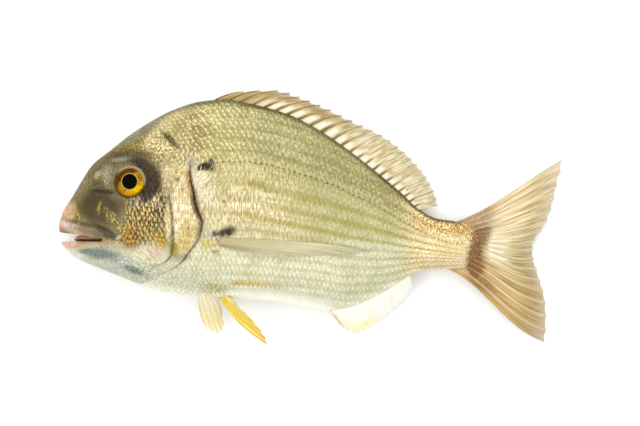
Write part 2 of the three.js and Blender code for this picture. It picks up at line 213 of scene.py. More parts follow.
def relief(s, h, trunk=False):
    """How far the gill cover, cheek plate, lips and eye rim stand out, and the groove behind the cover.

    The trunk runs on under the cover, so it has the groove and no plate.
    """
    behind_gill = s - gill_edge(h)
    plate = 0 if trunk else (1 - ramp(behind_gill, -0.5, 0.7)) * ramp(s, 30, 62) * GILL_PLATE
    groove = -0.7 * (1 if trunk else ramp(behind_gill, 0, 0.8)) * (1 - ramp(behind_gill, 0.8, 5))
    behind_cheek = s - cheek_edge(h)
    cheek = (1 - ramp(behind_cheek, -0.4, 0.7)) * ramp(s, 26, 50) * PREOPERCLE_STEP
    along_jaw = 1 - ramp(s, 35, 39)
    upper_lip = 1.1 * band(h, jaw_line(s), lip_top(s), 1.2) * along_jaw
    lower_lip = 0.9 * band(h, lower_lip_foot(s), lower_lip_top(s), 1.2) * along_jaw
    orbit_rim = 0.5 * np.exp(-(((from_eye(s, h) - EYE["radius"] - 2.2) / 1.8) ** 2))
    plates = (plate + groove) * cover_share(h) + cheek * band(h, -24, 10, 8)
    return plates + upper_lip + lower_lip + orbit_rim


def towards_edge(rise, turn):
    """Relief that fades out on the very edge of the back and the belly."""
    return rise * np.minimum(1, 1.6 * np.sin(turn))


def skin_z(s, h, side):
    """Height of the skin over (s, h) on one side, pressed flat where it meets the surface."""
    turn = turn_at(s, h)
    return np.maximum(0, middle_z(s) + side * (half_thickness(s, turn) + towards_edge(relief(s, h), turn)))


# Distance round the skin from the back, over the body, for laying out the scales.
ARC_S = np.arange(0, BODY_END + 0.5, 1.0)
ARC_TURN = np.linspace(0, math.pi, 241)


def arc_rows():
    """For each section along the fish, the distance round it at each turn."""
    rows = []
    for s in ARC_S:
        h = widest_line(s) + edge_reach(s, ARC_TURN < math.pi / 2) * np.cos(ARC_TURN)
        z = half_thickness(np.full_like(ARC_TURN, s), ARC_TURN)
        rows.append(np.concatenate([[0], np.cumsum(np.hypot(np.diff(h), np.diff(z)))]))
    return np.array(rows)


ARCS = arc_rows()


def arc_at(s, turn):
    """Distance round the skin from the back to a point."""
    i = np.clip(s, 0, BODY_END - 0.001)
    j = np.clip(turn / math.pi, 0, 1) * (len(ARC_TURN) - 1.001)
    i0, j0 = i.astype(int), j.astype(int)
    a, b = i - i0, j - j0
    upper = mix(ARCS[i0, j0], ARCS[i0, j0 + 1], b)
    lower = mix(ARCS[i0 + 1, j0], ARCS[i0 + 1, j0 + 1], b)
    return mix(upper, lower, a)


def turns_of(s, count):
    """Turns of evenly spaced points from the back to the belly on the section at s."""
    row = mix(ARCS[int(s)], ARCS[min(int(s) + 1, len(ARCS) - 1)], s - int(s))
    return np.interp(np.linspace(0, row[-1], count), row, ARC_TURN)


# ---- Scales ------------------------------------------------------------------------------------
scale_size = through((0, 0.8), (60, 0.92), (90, 1), (170, 1), (215, 0.8), (BODY_END, 0.62))
COUNT_STEP = 0.5
ALONG_S = np.arange(0, 260.0, COUNT_STEP)
PER_STEP = COUNT_STEP / (SCALE_LENGTH * scale_size(ALONG_S[:-1] + COUNT_STEP / 2))
ALONG_ROWS = np.concatenate([[0], np.cumsum(PER_STEP)])  # how many scales lie before each place in ALONG_S
FLAT_ROW_H = 12.0  # height that the rows below the lateral line level out to
LEVEL_OUT = 62.0  # the distance over which they do
row_slope = through(
    (80, 0.05), (110, -0.08), (150, -0.33), (190, -0.52), (215, -0.5), (240, -0.15), (BODY_END, 0),
)


def scale_places(s, h):
    """Where a point lies in the rows of scales: scales along the row, and rows below the lateral line."""
    line = lateral_line(s)
    below = arc_at(s, turn_at(s, h)) - arc_at(s, turn_at(s, line))
    levelled = (line - FLAT_ROW_H) * (np.exp(-np.maximum(below, 0) / LEVEL_OUT) - 1)
    foot = s - 0.5 * row_slope(s) * below
    foot = foot + 0.35 * np.sin(0.31 * s + 0.9 * h) + 0.25 * np.sin(0.83 * s - 0.47 * h)
    row = (below + levelled) / (ROW_WIDTH * scale_size(s)) + 0.1 * np.sin(0.52 * s + 0.21 * h)
    return np.interp(foot, ALONG_S, ALONG_ROWS), row


# Lanes of light and dark run along the flank. Lane 0 is the lateral line, and these are some of the others.
LANES = (
    (1, through(
        (84, 23), (113, 19.6), (130, 14.6), (144, 10.9), (160, 7.4), (187, -0.2), (211, -9.5), (245, -19),
    )),
    (3, through(
        (84, 4), (113, 0.8), (131, -3.2), (155, -8), (172, -11.9), (194, -15.4), (215, -19), (245, -23),
    )),
    (6, through(
        (84, -22), (116, -23.7), (137, -26), (151, -26.9), (165, -29.1), (187, -30.2), (201, -28.5),
        (222, -26.4), (245, -26.6),
    )),
    (8, through(
        (84, -32.5), (116, -34), (144, -36.2), (158, -37.9), (170, -40.2), (194, -38.6), (212, -33.4),
        (245, -30),
    )),
)
LANE_WIDTH = 6.6  # above the lateral line
BELLY_LANE_WIDTH = 4.6


def lane_at(s, h):
    """Which lane a point lies in, counted down from the lateral line. Whole numbers are the dark lanes."""
    number, upper = 0, lateral_line(s)
    lane = np.minimum(0, (upper - h) / LANE_WIDTH)
    for lane_number, curve in LANES:
        lower = curve(s)
        lane = lane + (lane_number - number) * np.clip((upper - h) / (upper - lower), 0, 1)
        number, upper = lane_number, lower
    return lane + np.maximum(0, (upper - h) / BELLY_LANE_WIDTH)


def scale_height(along, row):
    """Height of overlapping scales: 1 at a free edge, and 0 where the scale before it covers it."""
    best = np.full(np.shape(along), 1e9)
    nearest = np.floor(row + 0.5)
    for k in (-1, 0, 1):
        across = row - nearest - k
        arch = SCALE_ARCH * np.sqrt(np.maximum(0, 1 - (across / SCALE_REACH) ** 2))
        shift = 0.5 * np.mod(nearest + k, 2)
        centre = np.ceil(along - arch - shift) + shift
        # One number holds which scale it is and how far ahead its edge lies: the least is the top scale.
        packed = centre * 4 + (centre + arch - along) + np.where(np.abs(across) < SCALE_REACH, 0, 1e6)
        best = np.minimum(best, packed)
    edge = best - 2 * np.floor(best / 2)
    return np.clip(1 - edge, 0, 1)


def scaly_share(s, h):
    """Where the skin bears scales: the trunk, the nape and the cheek."""
    nape = ramp(s + 0.55 * h, 84, 92)
    trunk = ramp(s - gill_edge(h), -2, 4)
    return np.clip(np.maximum(nape * ramp(h, 22, 34), trunk), 0, 1) * (1 - ramp(s, 240, 244))


def scale_lift(s, h):
    """How far the skin stands up or lies low for the scales on it."""
    return SCALE_LIFT * (scale_height(*scale_places(s, h)) - 0.4) * scaly_share(s, h)


# ---- Modelling helpers -------------------------------------------------------------------------


def let_go():
    """Leaves edit mode and selects nothing."""
    if bpy.context.object and bpy.context.object.mode != "OBJECT":
        bpy.ops.object.mode_set(mode="OBJECT")
    bpy.ops.object.select_all(action="DESELECT")


def take_up(piece):
    """Selects one piece and nothing else, for the operators to work on."""
    let_go()
    piece.select_set(True)
    bpy.context.view_layer.objects.active = piece


def named(name):
    """Gives the new piece and its mesh their name."""
    piece = bpy.context.object
    piece.name = name
    piece.data.name = name
    return piece


def select_where(piece, kind, test):
    """In edit mode, selects the vertices, edges or faces that pass the test."""
    bpy.ops.mesh.select_mode(type=kind)
    bpy.ops.mesh.select_all(action="DESELECT")
    bpy.ops.object.mode_set(mode="OBJECT")
    items = {"VERT": piece.data.vertices, "EDGE": piece.data.edges, "FACE": piece.data.polygons}[kind]
    items.foreach_set("select", np.asarray(test, bool))
    bpy.ops.object.mode_set(mode="EDIT")


def corners(piece):
    """The place of each corner of a piece's mesh, in metres."""
    spots = np.empty(len(piece.data.vertices) * 3)
    piece.data.vertices.foreach_get("co", spots)
    return spots.reshape(-1, 3)


def put_corners(piece, spots):
    piece.data.vertices.foreach_set("co", np.ascontiguousarray(spots, float).ravel())
    piece.data.update()


def bare_tube(name, around, along):
    """A tube along Z from 0 to 1, to be shaped, with evenly spaced rings."""
    let_go()
    bpy.ops.mesh.primitive_cylinder_add(
        vertices=around, radius=1, depth=1, end_fill_type="NOTHING", location=(0, 0, 0.5)
    )
    tube = named(name)
    bpy.ops.object.transform_apply(location=True, rotation=True, scale=True)
    bpy.ops.object.mode_set(mode="EDIT")
    ends = np.array([e.vertices[:] for e in tube.data.edges])
    z = corners(tube)[:, 2]
    select_where(tube, "EDGE", np.abs(z[ends[:, 0]] - z[ends[:, 1]]) > 0.5)
    bpy.ops.mesh.subdivide(number_cuts=along - 1)
    bpy.ops.object.mode_set(mode="OBJECT")
    return tube


def world(s, h, z):
    """Metres in the part's frame from millimetres on the fish."""
    return np.stack([s - TOTAL_LENGTH / 2, h + 0 * s, z + 0 * s], -1) * MM


def on_fish(spots):
    """Millimetres on the fish, s and h, from metres in the part's frame."""
    return spots[..., 0] / MM + TOTAL_LENGTH / 2, spots[..., 1] / MM


def keep(piece, name, values):
    """Stores a number or a colour for each corner point of a piece."""
    values = np.asarray(values, float)
    if values.ndim == 1:
        layer = piece.data.attributes.new(name, "FLOAT", "POINT")
        layer.data.foreach_set("value", values)
    else:
        layer = piece.data.attributes.new(name, "FLOAT_COLOR", "POINT")
        layer.data.foreach_set("color", np.concatenate([values, np.ones((len(values), 1))], 1).ravel())


def keep_uv(piece, name, u, v):
    """Stores a place on a pattern for each corner of each face."""
    layer = piece.data.uv_layers.new(name=name)
    corner = np.empty(len(piece.data.loops), int)
    piece.data.loops.foreach_get("vertex_index", corner)
    layer.data.foreach_set("uv", np.stack([u[corner], v[corner]], -1).ravel())


def finish_piece(piece, node):
    """Smooths a piece, names the body it rides on, and hides the solid that it stands for."""
    for face in piece.data.polygons:
        face.use_smooth = True
    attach(piece, "root")
    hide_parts(node)


def open_edges(piece):
    """Which edges border a single face."""
    index_of = {edge.key: edge.index for edge in piece.data.edges}
    faces = np.zeros(len(piece.data.edges), int)
    for face in piece.data.polygons:
        for key in face.edge_keys:
            faces[index_of[key]] += 1
    return faces == 1


def cap_end(piece, low, high):
    """Closes the open end between two stations along the fish with a fan of faces to its middle."""
    ends = np.array([edge.vertices[:] for edge in piece.data.edges])
    s, _ = on_fish(corners(piece)[ends].mean(1))
    is_open = open_edges(piece)
    take_up(piece)
    bpy.ops.object.mode_set(mode="EDIT")
    select_where(piece, "EDGE", is_open & (s > low) & (s < high))
    bpy.ops.mesh.extrude_region()
    bpy.ops.mesh.merge(type="CENTER")
    bpy.ops.object.mode_set(mode="OBJECT")


def close_up(piece, distance=0.02):
    """Merges corners that lie within a distance in mm, and turns all faces outwards."""
    take_up(piece)
    bpy.ops.object.mode_set(mode="EDIT")
    bpy.ops.mesh.select_all(action="SELECT")
    bpy.ops.mesh.remove_doubles(threshold=distance * MM)
    bpy.ops.mesh.normals_make_consistent(inside=False)
    bpy.ops.object.mode_set(mode="OBJECT")


# ---- Paint -------------------------------------------------------------------------------------


def colour(red, green, blue):
    """A colour's linear values from its values on a screen, 0 to 255."""
    screen = np.array([red, green, blue]) / 255
    return np.where(screen <= 0.04045, screen / 12.92, ((screen + 0.055) / 1.055) ** 2.4)


def spot(s, h, at, size, lean=0.0, soft=0.5):
    """A soft oval: 1 in the middle and 0 outside. lean turns it, in degrees up to the tail."""
    turn = math.radians(lean)
    x, y = s - at[0], h - at[1]
    along = (x * math.cos(turn) + y * math.sin(turn)) / size[0]
    across = (-x * math.sin(turn) + y * math.cos(turn)) / size[1]
    return 1 - ramp(np.hypot(along, across), 1 - soft, 1 + soft)


def stroke(s, h, points, width, soft=0.6):
    """A soft line of a given width through (s, h) points."""
    best = np.full(np.shape(s), 1e9)
    for (s0, h0), (s1, h1) in zip(points, points[1:]):
        run = np.array([s1 - s0, h1 - h0])
        t = np.clip(((s - s0) * run[0] + (h - h0) * run[1]) / (run @ run), 0, 1)
        best = np.minimum(best, np.hypot(s - s0 - t * run[0], h - h0 - t * run[1]))
    return 1 - ramp(best, width / 2 * (1 - soft), width / 2 * (1 + soft))


STUDIO_LIGHT = 1.5  # how bright a white surface facing up shows in this light
GLOSS_VEIL = 0.024  # what the wet gloss adds to every colour
FIN_LIGHT = 1.32  # how bright a fin's white web shows
PANEL_LIGHT = 1.3  # how bright the pale panels between its rays show


def shows(red, green, blue, light=STUDIO_LIGHT):
    """The colour of a surface that shows as this one in the studio's light."""
    return np.clip((colour(red, green, blue) - GLOSS_VEIL) / light, 0.001, 0.95)


class Coat:
    """The skin's two colours at each point: the deep one between the flecks, and the light one on them."""

    def __init__(self, count):
        self.deep = np.zeros((count, 3))
        self.light = np.zeros((count, 3))

    def wash(self, mask, deep, light, strength=1.0):
        """Lays two colours over the ones that are there."""
        mask = (np.clip(mask, 0, 1) * strength)[:, None]
        self.deep += (shows(*deep) - self.deep) * mask
        self.light += (shows(*light) - self.light) * mask

    def tint(self, mask, red, green, blue):
        """Turns both colours brighter or darker, by a factor for each primary colour."""
        factor = 1 + (np.array([red, green, blue]) - 1) * np.clip(mask, 0, 1)[:, None]
        self.deep *= factor
        self.light *= factor


# Dabs of colour on the head and its plates: where, how big, lean in degrees, softness, and the two colours.
HEAD_DABS = {
    "brow": ((26, 30), (14, 9), 50, 0.5, (84, 76, 38), (140, 130, 86)),
    "crown": ((42, 43), (12, 6), 38, 0.5, (82, 72, 26), (190, 158, 66)),
    "crown_edge": ((50, 51), (14, 3.4), 34, 0.5, (112, 106, 82), (166, 158, 132)),
    "nape": ((65, 41), (12, 9), -35, 0.4, (112, 95, 52), (268, 250, 186)),
    "shoulder_top": ((78, 50), (12, 12), 0, 0.6, (148, 132, 80), (242, 226, 166)),
    "nape_streak": ((66.5, 45.5), (7.5, 1.7), -46, 0.5, (44, 36, 18), (124, 108, 64)),
    "over_eye": ((41, 35.5), (12, 4), 10, 0.5, (62, 56, 34), (124, 114, 82)),
    # The pale grey patches over and before the eye are painted sheen on the wet skin.
    "sheen_over_eye": ((37, 34), (5.5, 1.2), 4, 0.7, (126, 122, 98), (172, 168, 144)),
    "sheen_before_eye": ((27, 24), (6, 3.6), 55, 0.7, (112, 106, 84), (198, 192, 170)),
    "snout_top": ((22.5, 18.5), (6, 3.6), 48, 0.6, (82, 72, 42), (128, 116, 80)),
    "nostril_pale": ((23.5, 25), (2.6, 1.6), 40, 0.6, (150, 142, 112), (222, 212, 182)),
    "snout_ridge": ((12, 13), (4.5, 10), -35, 0.6, (104, 92, 56), (158, 144, 104)),
    "snout_side": ((25, 5), (13, 10), -12, 0.35, (66, 57, 8), (96, 83, 22)),
    "under_eye": ((44, 8.5), (9, 5), 0, 0.6, (72, 62, 34), (128, 112, 72)),
    # groove: painted shade in the groove below the nostrils, in front of the eye.
    "groove": ((28, 15), (8, 1.6), -4, 0.6, (40, 32, 12), (72, 60, 30)),
    "snout_tip": ((5.5, 2.5), (4.5, 6.5), -22, 0.4, (180, 144, 102), (250, 218, 180)),
    "cheek_upper": ((54, 5), (10, 8), 0, 0.45, (132, 116, 84), (290, 268, 222)),
    "cheek": ((52, -3), (13, 12), 15, 0.35, (76, 68, 46), (228, 196, 112)),
    "cheek_rear": ((62.6, 9), (3.6, 7), 0, 0.5, (70, 60, 36), (194, 174, 130)),
    "temple_pale": ((65, 23), (3.4, 9), 0, 0.5, (170, 144, 92), (264, 248, 206)),
    "cheek_back": ((61.8, -2), (3.4, 8), 0, 0.5, (74, 64, 40), (200, 182, 130)),
    "cheek_gold": ((43, -12), (6.2, 6.5), 20, 0.5, (70, 58, 24), (216, 162, 40)),
    "plate_gold": ((61, -14), (3.4, 5), 24, 0.5, (150, 118, 40), (240, 200, 90)),
    "plate_pink": ((56, -22), (6, 3.4), 25, 0.5, (196, 168, 132), (240, 222, 196)),
    "plate_strip": ((65.3, -2), (1.7, 11), 0, 0.35, (210, 186, 116), (255, 244, 202)),
    "cover": ((75, 4), (8, 24), 0, 0.25, (218, 196, 134), (272, 264, 232)),
    "cover_low": ((75, -13), (5.5, 10), -20, 0.5, (190, 162, 90), (250, 232, 166)),
    "cover_top": ((72.5, 26), (8, 8), 0, 0.5, (182, 156, 96), (262, 246, 196)),
    "cover_olive": ((68.8, -19.5), (2.4, 5), 14, 0.4, (150, 130, 12), (216, 196, 66)),
    "cover_grey": ((73, -24), (6, 2.2), 14, 0.5, (150, 150, 118), (214, 216, 186)),
    "shoulder_bone": ((79, 32.5), (2.8, 4.4), 10, 0.4, (168, 158, 136), (208, 198, 178)),
    "upper_lip": ((8, -6.4), (8.5, 2.8), -14, 0.4, (184, 152, 130), (240, 214, 196)),
    "lip_shine": ((3, -3.6), (2.6, 1.2), -30, 0.6, (220, 200, 190), (246, 236, 228)),
    "lip_shadow": ((17, -4.6), (12, 1.3), -14, 0.5, (92, 76, 48), (120, 104, 72)),
    "lip_brown": ((17, -8), (7, 2), -14, 0.5, (126, 106, 78), (178, 158, 128)),
    "maxilla": ((29.5, -10), (7.5, 2.2), -27, 0.3, (62, 57, 42), (102, 96, 78)),
    "maxilla_green": ((24, -10.6), (5, 1.6), -24, 0.4, (112, 104, 66), (140, 132, 92)),
    "maxilla_top": ((26.5, -6.4), (7, 1), -24, 0.5, (62, 52, 30), (84, 72, 44)),
    "lip_corner": ((35.6, -13), (1.2, 3), -35, 0.5, (186, 172, 128), (232, 220, 178)),
    # A painted highlight along the rim of the upper lip over the mouth.
    "lip_rim_highlight": ((17, -11.4), (10, 0.6), -13, 0.5, (176, 160, 112), (232, 218, 172)),
    "lip_red": ((1.2, -7.6), (1.4, 1.4), 0, 0.6, (196, 96, 72), (232, 142, 120)),
    "chin": ((8, -22), (10, 5), -28, 0.6, (214, 210, 184), (250, 248, 232)),
    "lower_lip": ((16, -15.8), (15, 2.8), 2, 0.35, (168, 140, 80), (216, 192, 136)),
    "lower_lip_line": ((15, -14.6), (13, 1.1), 3, 0.5, (142, 100, 66), (186, 142, 104)),
    "lower_lip_red": ((6, -15.6), (5.5, 2.4), 4, 0.5, (222, 176, 146), (250, 220, 192)),
    "jaw_speckle": ((34, -25.5), (18, 5.5), -22, 0.5, (180, 184, 162), (250, 250, 236)),
    "jaw_blue": ((27, -22), (10, 3), -8, 0.6, (92, 104, 94), (162, 174, 158)),
    "jaw_blue_front": ((19, -20.4), (7, 1.5), -2, 0.6, (104, 116, 104), (170, 182, 164)),
    "throat_blue": ((45, -31.4), (6.4, 2), -19, 0.6, (94, 104, 94), (162, 172, 156)),
    "throat_pale": ((48, -25), (5, 2.4), -20, 0.5, (200, 200, 164), (244, 242, 212)),
}

# Small bright gold marks on the snout and below the eye: where, how big, and their lean.
GOLD_MARKS = (
    ((11.6, 0.6), (0.9, 5.4), 10), ((24.6, 6.5), (0.8, 2.6), -14), ((24, 3.4), (0.7, 1.6), 4),
    ((27.4, 4.6), (0.5, 1.6), 10), ((29.6, 3.6), (0.7, 2), 24), ((32.4, 0.6), (1.9, 2.2), 30),
    ((33.4, -1.8), (2.2, 1.3), 40), ((36.4, -5.4), (1.3, 2.4), 30), ((40.5, 8), (0.8, 1.6), 20),
    ((29.5, 0.2), (0.8, 2.4), 6), ((38.5, -8), (1.4, 1.4), 0), ((24, 23.6), (1.8, 1.0), 30),
    ((27.2, 21), (0.9, 0.6), 0),
)

# Small dark flecks on the gill cover and the flank: where, how big, and their lean.
DARK_FLECKS = (
    ((73.8, 16.4), (1.2, 1.0), 0), ((106, 4.6), (0.6, 1.9), 0), ((98.5, 9.4), (0.5, 1.5), -6),
    ((70.5, 22), (0.8, 1.3), 20), ((112.4, 13), (0.5, 1.3), -10), ((77.2, -6.4), (0.6, 1.5), 10),
    ((71.6, 3.6), (0.5, 1.4), 0), ((93, -20.5), (1.8, 0.9), -8), ((100.4, 60.6), (0.9, 1.6), 20),
    ((91, 51), (0.8, 1.5), 25),
)


def gold_marks(s, h):
    """How much of each point the gold marks cover."""
    marks = np.zeros(len(s))
    for at, size, lean in GOLD_MARKS:
        marks = np.maximum(marks, spot(s, h, at, (1.1 * size[0], 1.1 * size[1]), lean, 0.5))
    return marks


# The slit behind the gill cover, painted dark brown as the shade in its gap: how wide and how dark it is at
# each height.
slit_width = through((-27, 0.6), (-12, 0.7), (-3, 1.0), (3, 1.9), (9, 1.8), (18, 1.1), (27, 0.8))
slit_shade_strength = through((-30, 0), (-25, 0.45), (-14, 0.5), (-5, 0.8), (2, 1), (12, 1), (24, 0.85), (32, 0))

# The brown band at the tail's root: where it starts and ends along the fish, at each height.
band_start = through(
    (-44, 250), (-36, 246.5), (-31, 243), (-26.7, 241.5), (-17, 243.5), (-3, 246.5), (6, 249),
)
band_end = through(
    (-44, 247), (-36, 250.5), (-31, 252), (-25.5, 251.6), (-20, 251.3), (-14, 253.6), (-9, 255.8), (2, 259),
)


def paint_skin(s, h):
    """The colours of the skin: washes over the whole body, then dabs, then lines."""
    coat = Coat(len(s))
    coat.wash(np.ones(len(s)), (184, 176, 116), (224, 216, 160))
    for layer in (paint_trunk, paint_lanes, paint_tail_root, paint_head, paint_breast, paint_slits):
        layer(coat, s, h)
    return coat


def paint_trunk(coat, s, h):
    """Olive back, cream flank, pale belly, and gold over cream towards the tail."""
    wash = coat.wash
    depth = depth_share(s, h)
    front = 1 - ramp(s, 115, 150)
    wash(ramp(depth, 0.5, 0.7), (170, 160, 106), (222, 212, 158))
    wash(ramp(s, 135, 170) * ramp(depth, 0.45, 0.75), (156, 146, 88), (202, 196, 146))
    wash(ramp(s, 125, 160) * band(depth, 0.42, 0.7, 0.08), (178, 172, 108), (210, 205, 158))
    wash(front * band(depth, 0.45, 0.68, 0.08), (182, 172, 114), (238, 226, 172))
    wash(front * band(depth, 0.4, 0.5, 0.08), (192, 178, 124), (250, 238, 192))
    wash((1 - ramp(s, 98, 122)) * ramp(depth, 0.64, 0.76), (180, 163, 102), (244, 228, 172))
    wash(1 - ramp(depth, 0.24, 0.42), (208, 204, 160), (248, 246, 214))
    wash(1 - ramp(depth, 0.02, 0.18), (204, 206, 176), (240, 242, 214))
    wash(ramp(s, 150, 185) * band(depth, 0.1, 0.4, 0.12), (198, 199, 157), (232, 231, 194))
    from_back = back_line(s) - h
    edge = (1 - ramp(from_back, 1.5, 6)) * ramp(s, 60, 90)
    wash(edge * (1 - 0.55 * band(s, 100, 180, 16)), (118, 112, 66), (168, 160, 108), 0.8)
    wash((1 - ramp(from_back, 1.0, 3.2)) * ramp(s, 46, 60), (84, 80, 44), (120, 114, 70), 0.85)
    wash(ramp(s, 196, 220), (214, 190, 126), (254, 244, 200))
    wash(ramp(s, 200, 222) * ramp(depth, 0.56, 0.85), (180, 134, 60), (264, 244, 180))
    wash(ramp(s, 205, 225) * (1 - ramp(depth, 0.14, 0.4)), (212, 190, 140), (250, 236, 196))
    wash((1 - ramp(from_back, 0.8, 3.2)) * band(s, 194, 234, 8), (62, 64, 36), (112, 108, 64), 0.85)


def paint_lanes(coat, s, h):
    """The lanes, and the light that the flank, the back and the belly catch."""
    depth = depth_share(s, h)
    lane = lane_at(s, h)
    flank = ramp(s, 88, 104) * (1 - ramp(s, 238, 244))
    dark_lane = ramp(np.cos(2 * math.pi * lane), 0.1, 0.9) * flank
    coat.tint(dark_lane, 0.89, 0.895, 0.82)
    coat.tint(dark_lane * ramp(s, 186, 212), 0.93, 0.87, 0.76)
    coat.tint(ramp(-np.cos(2 * math.pi * lane), -0.3, 0.7) * flank, 1.08, 1.07, 1.13)
    coat.tint(ramp(depth, 0.66, 0.78) * ramp(s, 76, 90) * (1 - ramp(s, 150, 172)), 0.94, 0.97, 0.94)
    coat.tint(ramp(depth, 0.62, 0.76) * ramp(s, 76, 88) * (1 - ramp(s, 98, 120)), 1.05, 1.08, 1.12)
    coat.tint(ramp(depth, 0.52, 0.64) * band(s, 122, 168, 12), 0.96, 0.96, 0.94)
    coat.tint(dark_lane * ramp(h - lateral_line(s), 1, 4) * (1 - ramp(s, 130, 160)), 0.88, 0.9, 0.86)
    coat.tint(band(depth, 0.2, 0.6, 0.08) * ramp(s, 88, 104), 1.06, 1.05, 1.08)
    coat.tint(spot(s, h, (230, -17), (24, 7), 0, 0.5), 1.1, 1.08, 1.08)
    # These two lines whiten the belly's edge: partly its own pale colour and partly a painted highlight
    # that lifts the shade on its sideways slope.
    coat.wash(belly_edge(s, h), (234, 235, 210), (253, 253, 240), 0.9)
    coat.tint((1 - ramp(h - belly_line(s), 0, 6)) * (1 - ramp(s, 200, 220)), 1.3, 1.28, 1.3)


def paint_tail_root(coat, s, h):
    """The brown band, with a ragged front edge."""
    ragged = 0.5 * np.sin(1.7 * h) + 0.4 * np.sin(3.1 * h + 1)
    coat.wash(ramp(s + ragged - band_start(h), -1.5, 1.5), (106, 70, 42), (184, 140, 94), 0.95)
    coat.wash(ramp(s, 240, 246) * ramp(h, -12, -5), (130, 108, 70), (206, 180, 134), 0.8)


def paint_head(coat, s, h):
    """Olive above and silver below, then the dabs, the gold marks and the dark skin round the eye."""
    wash = coat.wash
    on_head = 1 - ramp(s - gill_edge(h), -1.5, 1.5)
    wash(on_head * ramp(h, -24, -8) * (1 - ramp(h, 34, 46)), (98, 86, 52), (172, 158, 112), 0.95)
    wash(on_head * (1 - ramp(h + 0.25 * s, -20, -10)), (168, 168, 138), (234, 232, 206), 0.95)
    for at, size, lean, soft, deep, light in HEAD_DABS.values():
        wash(spot(s, h, at, size, lean, soft), deep, light, 0.95)
    wash(gold_marks(s, h), (92, 78, 30), (222, 194, 104), 0.75)
    orbit = spot(s, h, (47, 21), (14, 14), 0, 0.14) * ramp(s - EYE["s"] + 0.3 * (h - EYE["h"]), -1, 6)
    wash(orbit, (50, 44, 14), (80, 68, 36), 0.95)
    coat.tint(spot(s, h, (55, 5), (9, 7), 0, 0.5), 1.12, 1.12, 1.14)
    wash(band(from_eye(s, h), 7, 10.6, 1.4) * (1 - ramp(s, 38, 50)), (112, 104, 76), (160, 152, 126), 0.75)


def bare_plate(s, h):
    """The smooth plate behind the gill cover's top."""
    return spot(s, h, (85.5, 18.5), (5.6, 12.5), 22, 0.3)


def paint_breast(coat, s, h):
    """The bare plate, the yellow skin and dark patch by the pectoral fin's root, and the belly's flecks."""
    wash = coat.wash
    wash(ramp(s - gill_edge(h), -0.5, 1) * bare_plate(s, h), (216, 200, 152), (264, 258, 232))
    wash(spot(s, h, (88.5, -15), (4, 4.5), -20, 0.5), (196, 178, 84), (240, 226, 150), 0.9)
    wash(spot(s, h, (91, -11), (5.5, 3), -12, 0.4), (186, 178, 150), (238, 234, 212), 0.95)
    wash(spot(s, h, (96.5, -14.4), (4.6, 3), 12, 0.5), (172, 132, 98), (226, 196, 164), 0.85)
    jagged = h + 0.55 * np.sin(2.4 * s) + 0.3 * np.sin(5.3 * s + 1)
    wash(spot(s, jagged, (97, -9.5), (6.4, 1.7), 5, 0.4), (60, 56, 32), (112, 110, 76), 0.95)
    wash(spot(s, jagged, (101, -8.2), (4.4, 2.9), 24, 0.5), (54, 52, 34), (110, 110, 80), 0.95)
    orange_fleck = stroke(s, h, [(104, -39), (112, -39), (122, -39.8)], 2.8, 0.7)
    wash(orange_fleck, (182, 142, 30), (240, 216, 122), 0.85)
    wash(stroke(s, h, [(122, -40), (131, -41.5)], 3, 0.9), (176, 160, 92), (232, 226, 176), 0.6)
    wash(spot(s, h, (93, -42), (9, 3), 10, 0.6), (156, 148, 84), (218, 212, 156), 0.75)


def paint_slits(coat, s, h):
    """The slits behind the plates, painted as the shade in their gaps, brown and wide beside the eye and
    faint below, and the dark flecks.
    """
    wash = coat.wash
    behind = s - gill_edge(h)
    # Painted shade in the gap of the gill slit.
    slit_shade = np.exp(-(((behind - 0.4) / slit_width(h)) ** 2))
    wash(band(behind, -1.6, 0.6, 1.3) * band(h, 0, 25, 5), (146, 98, 46), (216, 176, 118), 0.75)
    wash(slit_shade * slit_shade_strength(h), (52, 34, 12), (92, 64, 30), 0.95)
    # Painted shade along the fold under the cheek plate's edge.
    fold = np.exp(-(((s - cheek_edge(h) - 0.4) / 0.75) ** 2))
    wash(fold * ramp(h, -33, -24) * (1 - ramp(h, 6, 16)), (66, 52, 22), (104, 82, 42), 0.9)
    for at, size, lean in DARK_FLECKS:
        wash(spot(s, h, at, size, lean, 0.6), (84, 66, 32), (120, 100, 58), 0.75)


def belly_edge(s, h):
    """The smooth, nearly white skin along the belly behind the pelvic fins, whose white is partly a painted
    highlight.
    """
    return (1 - ramp(h - belly_line(s), 3.5, 9)) * band(s, 112, 154, 16)


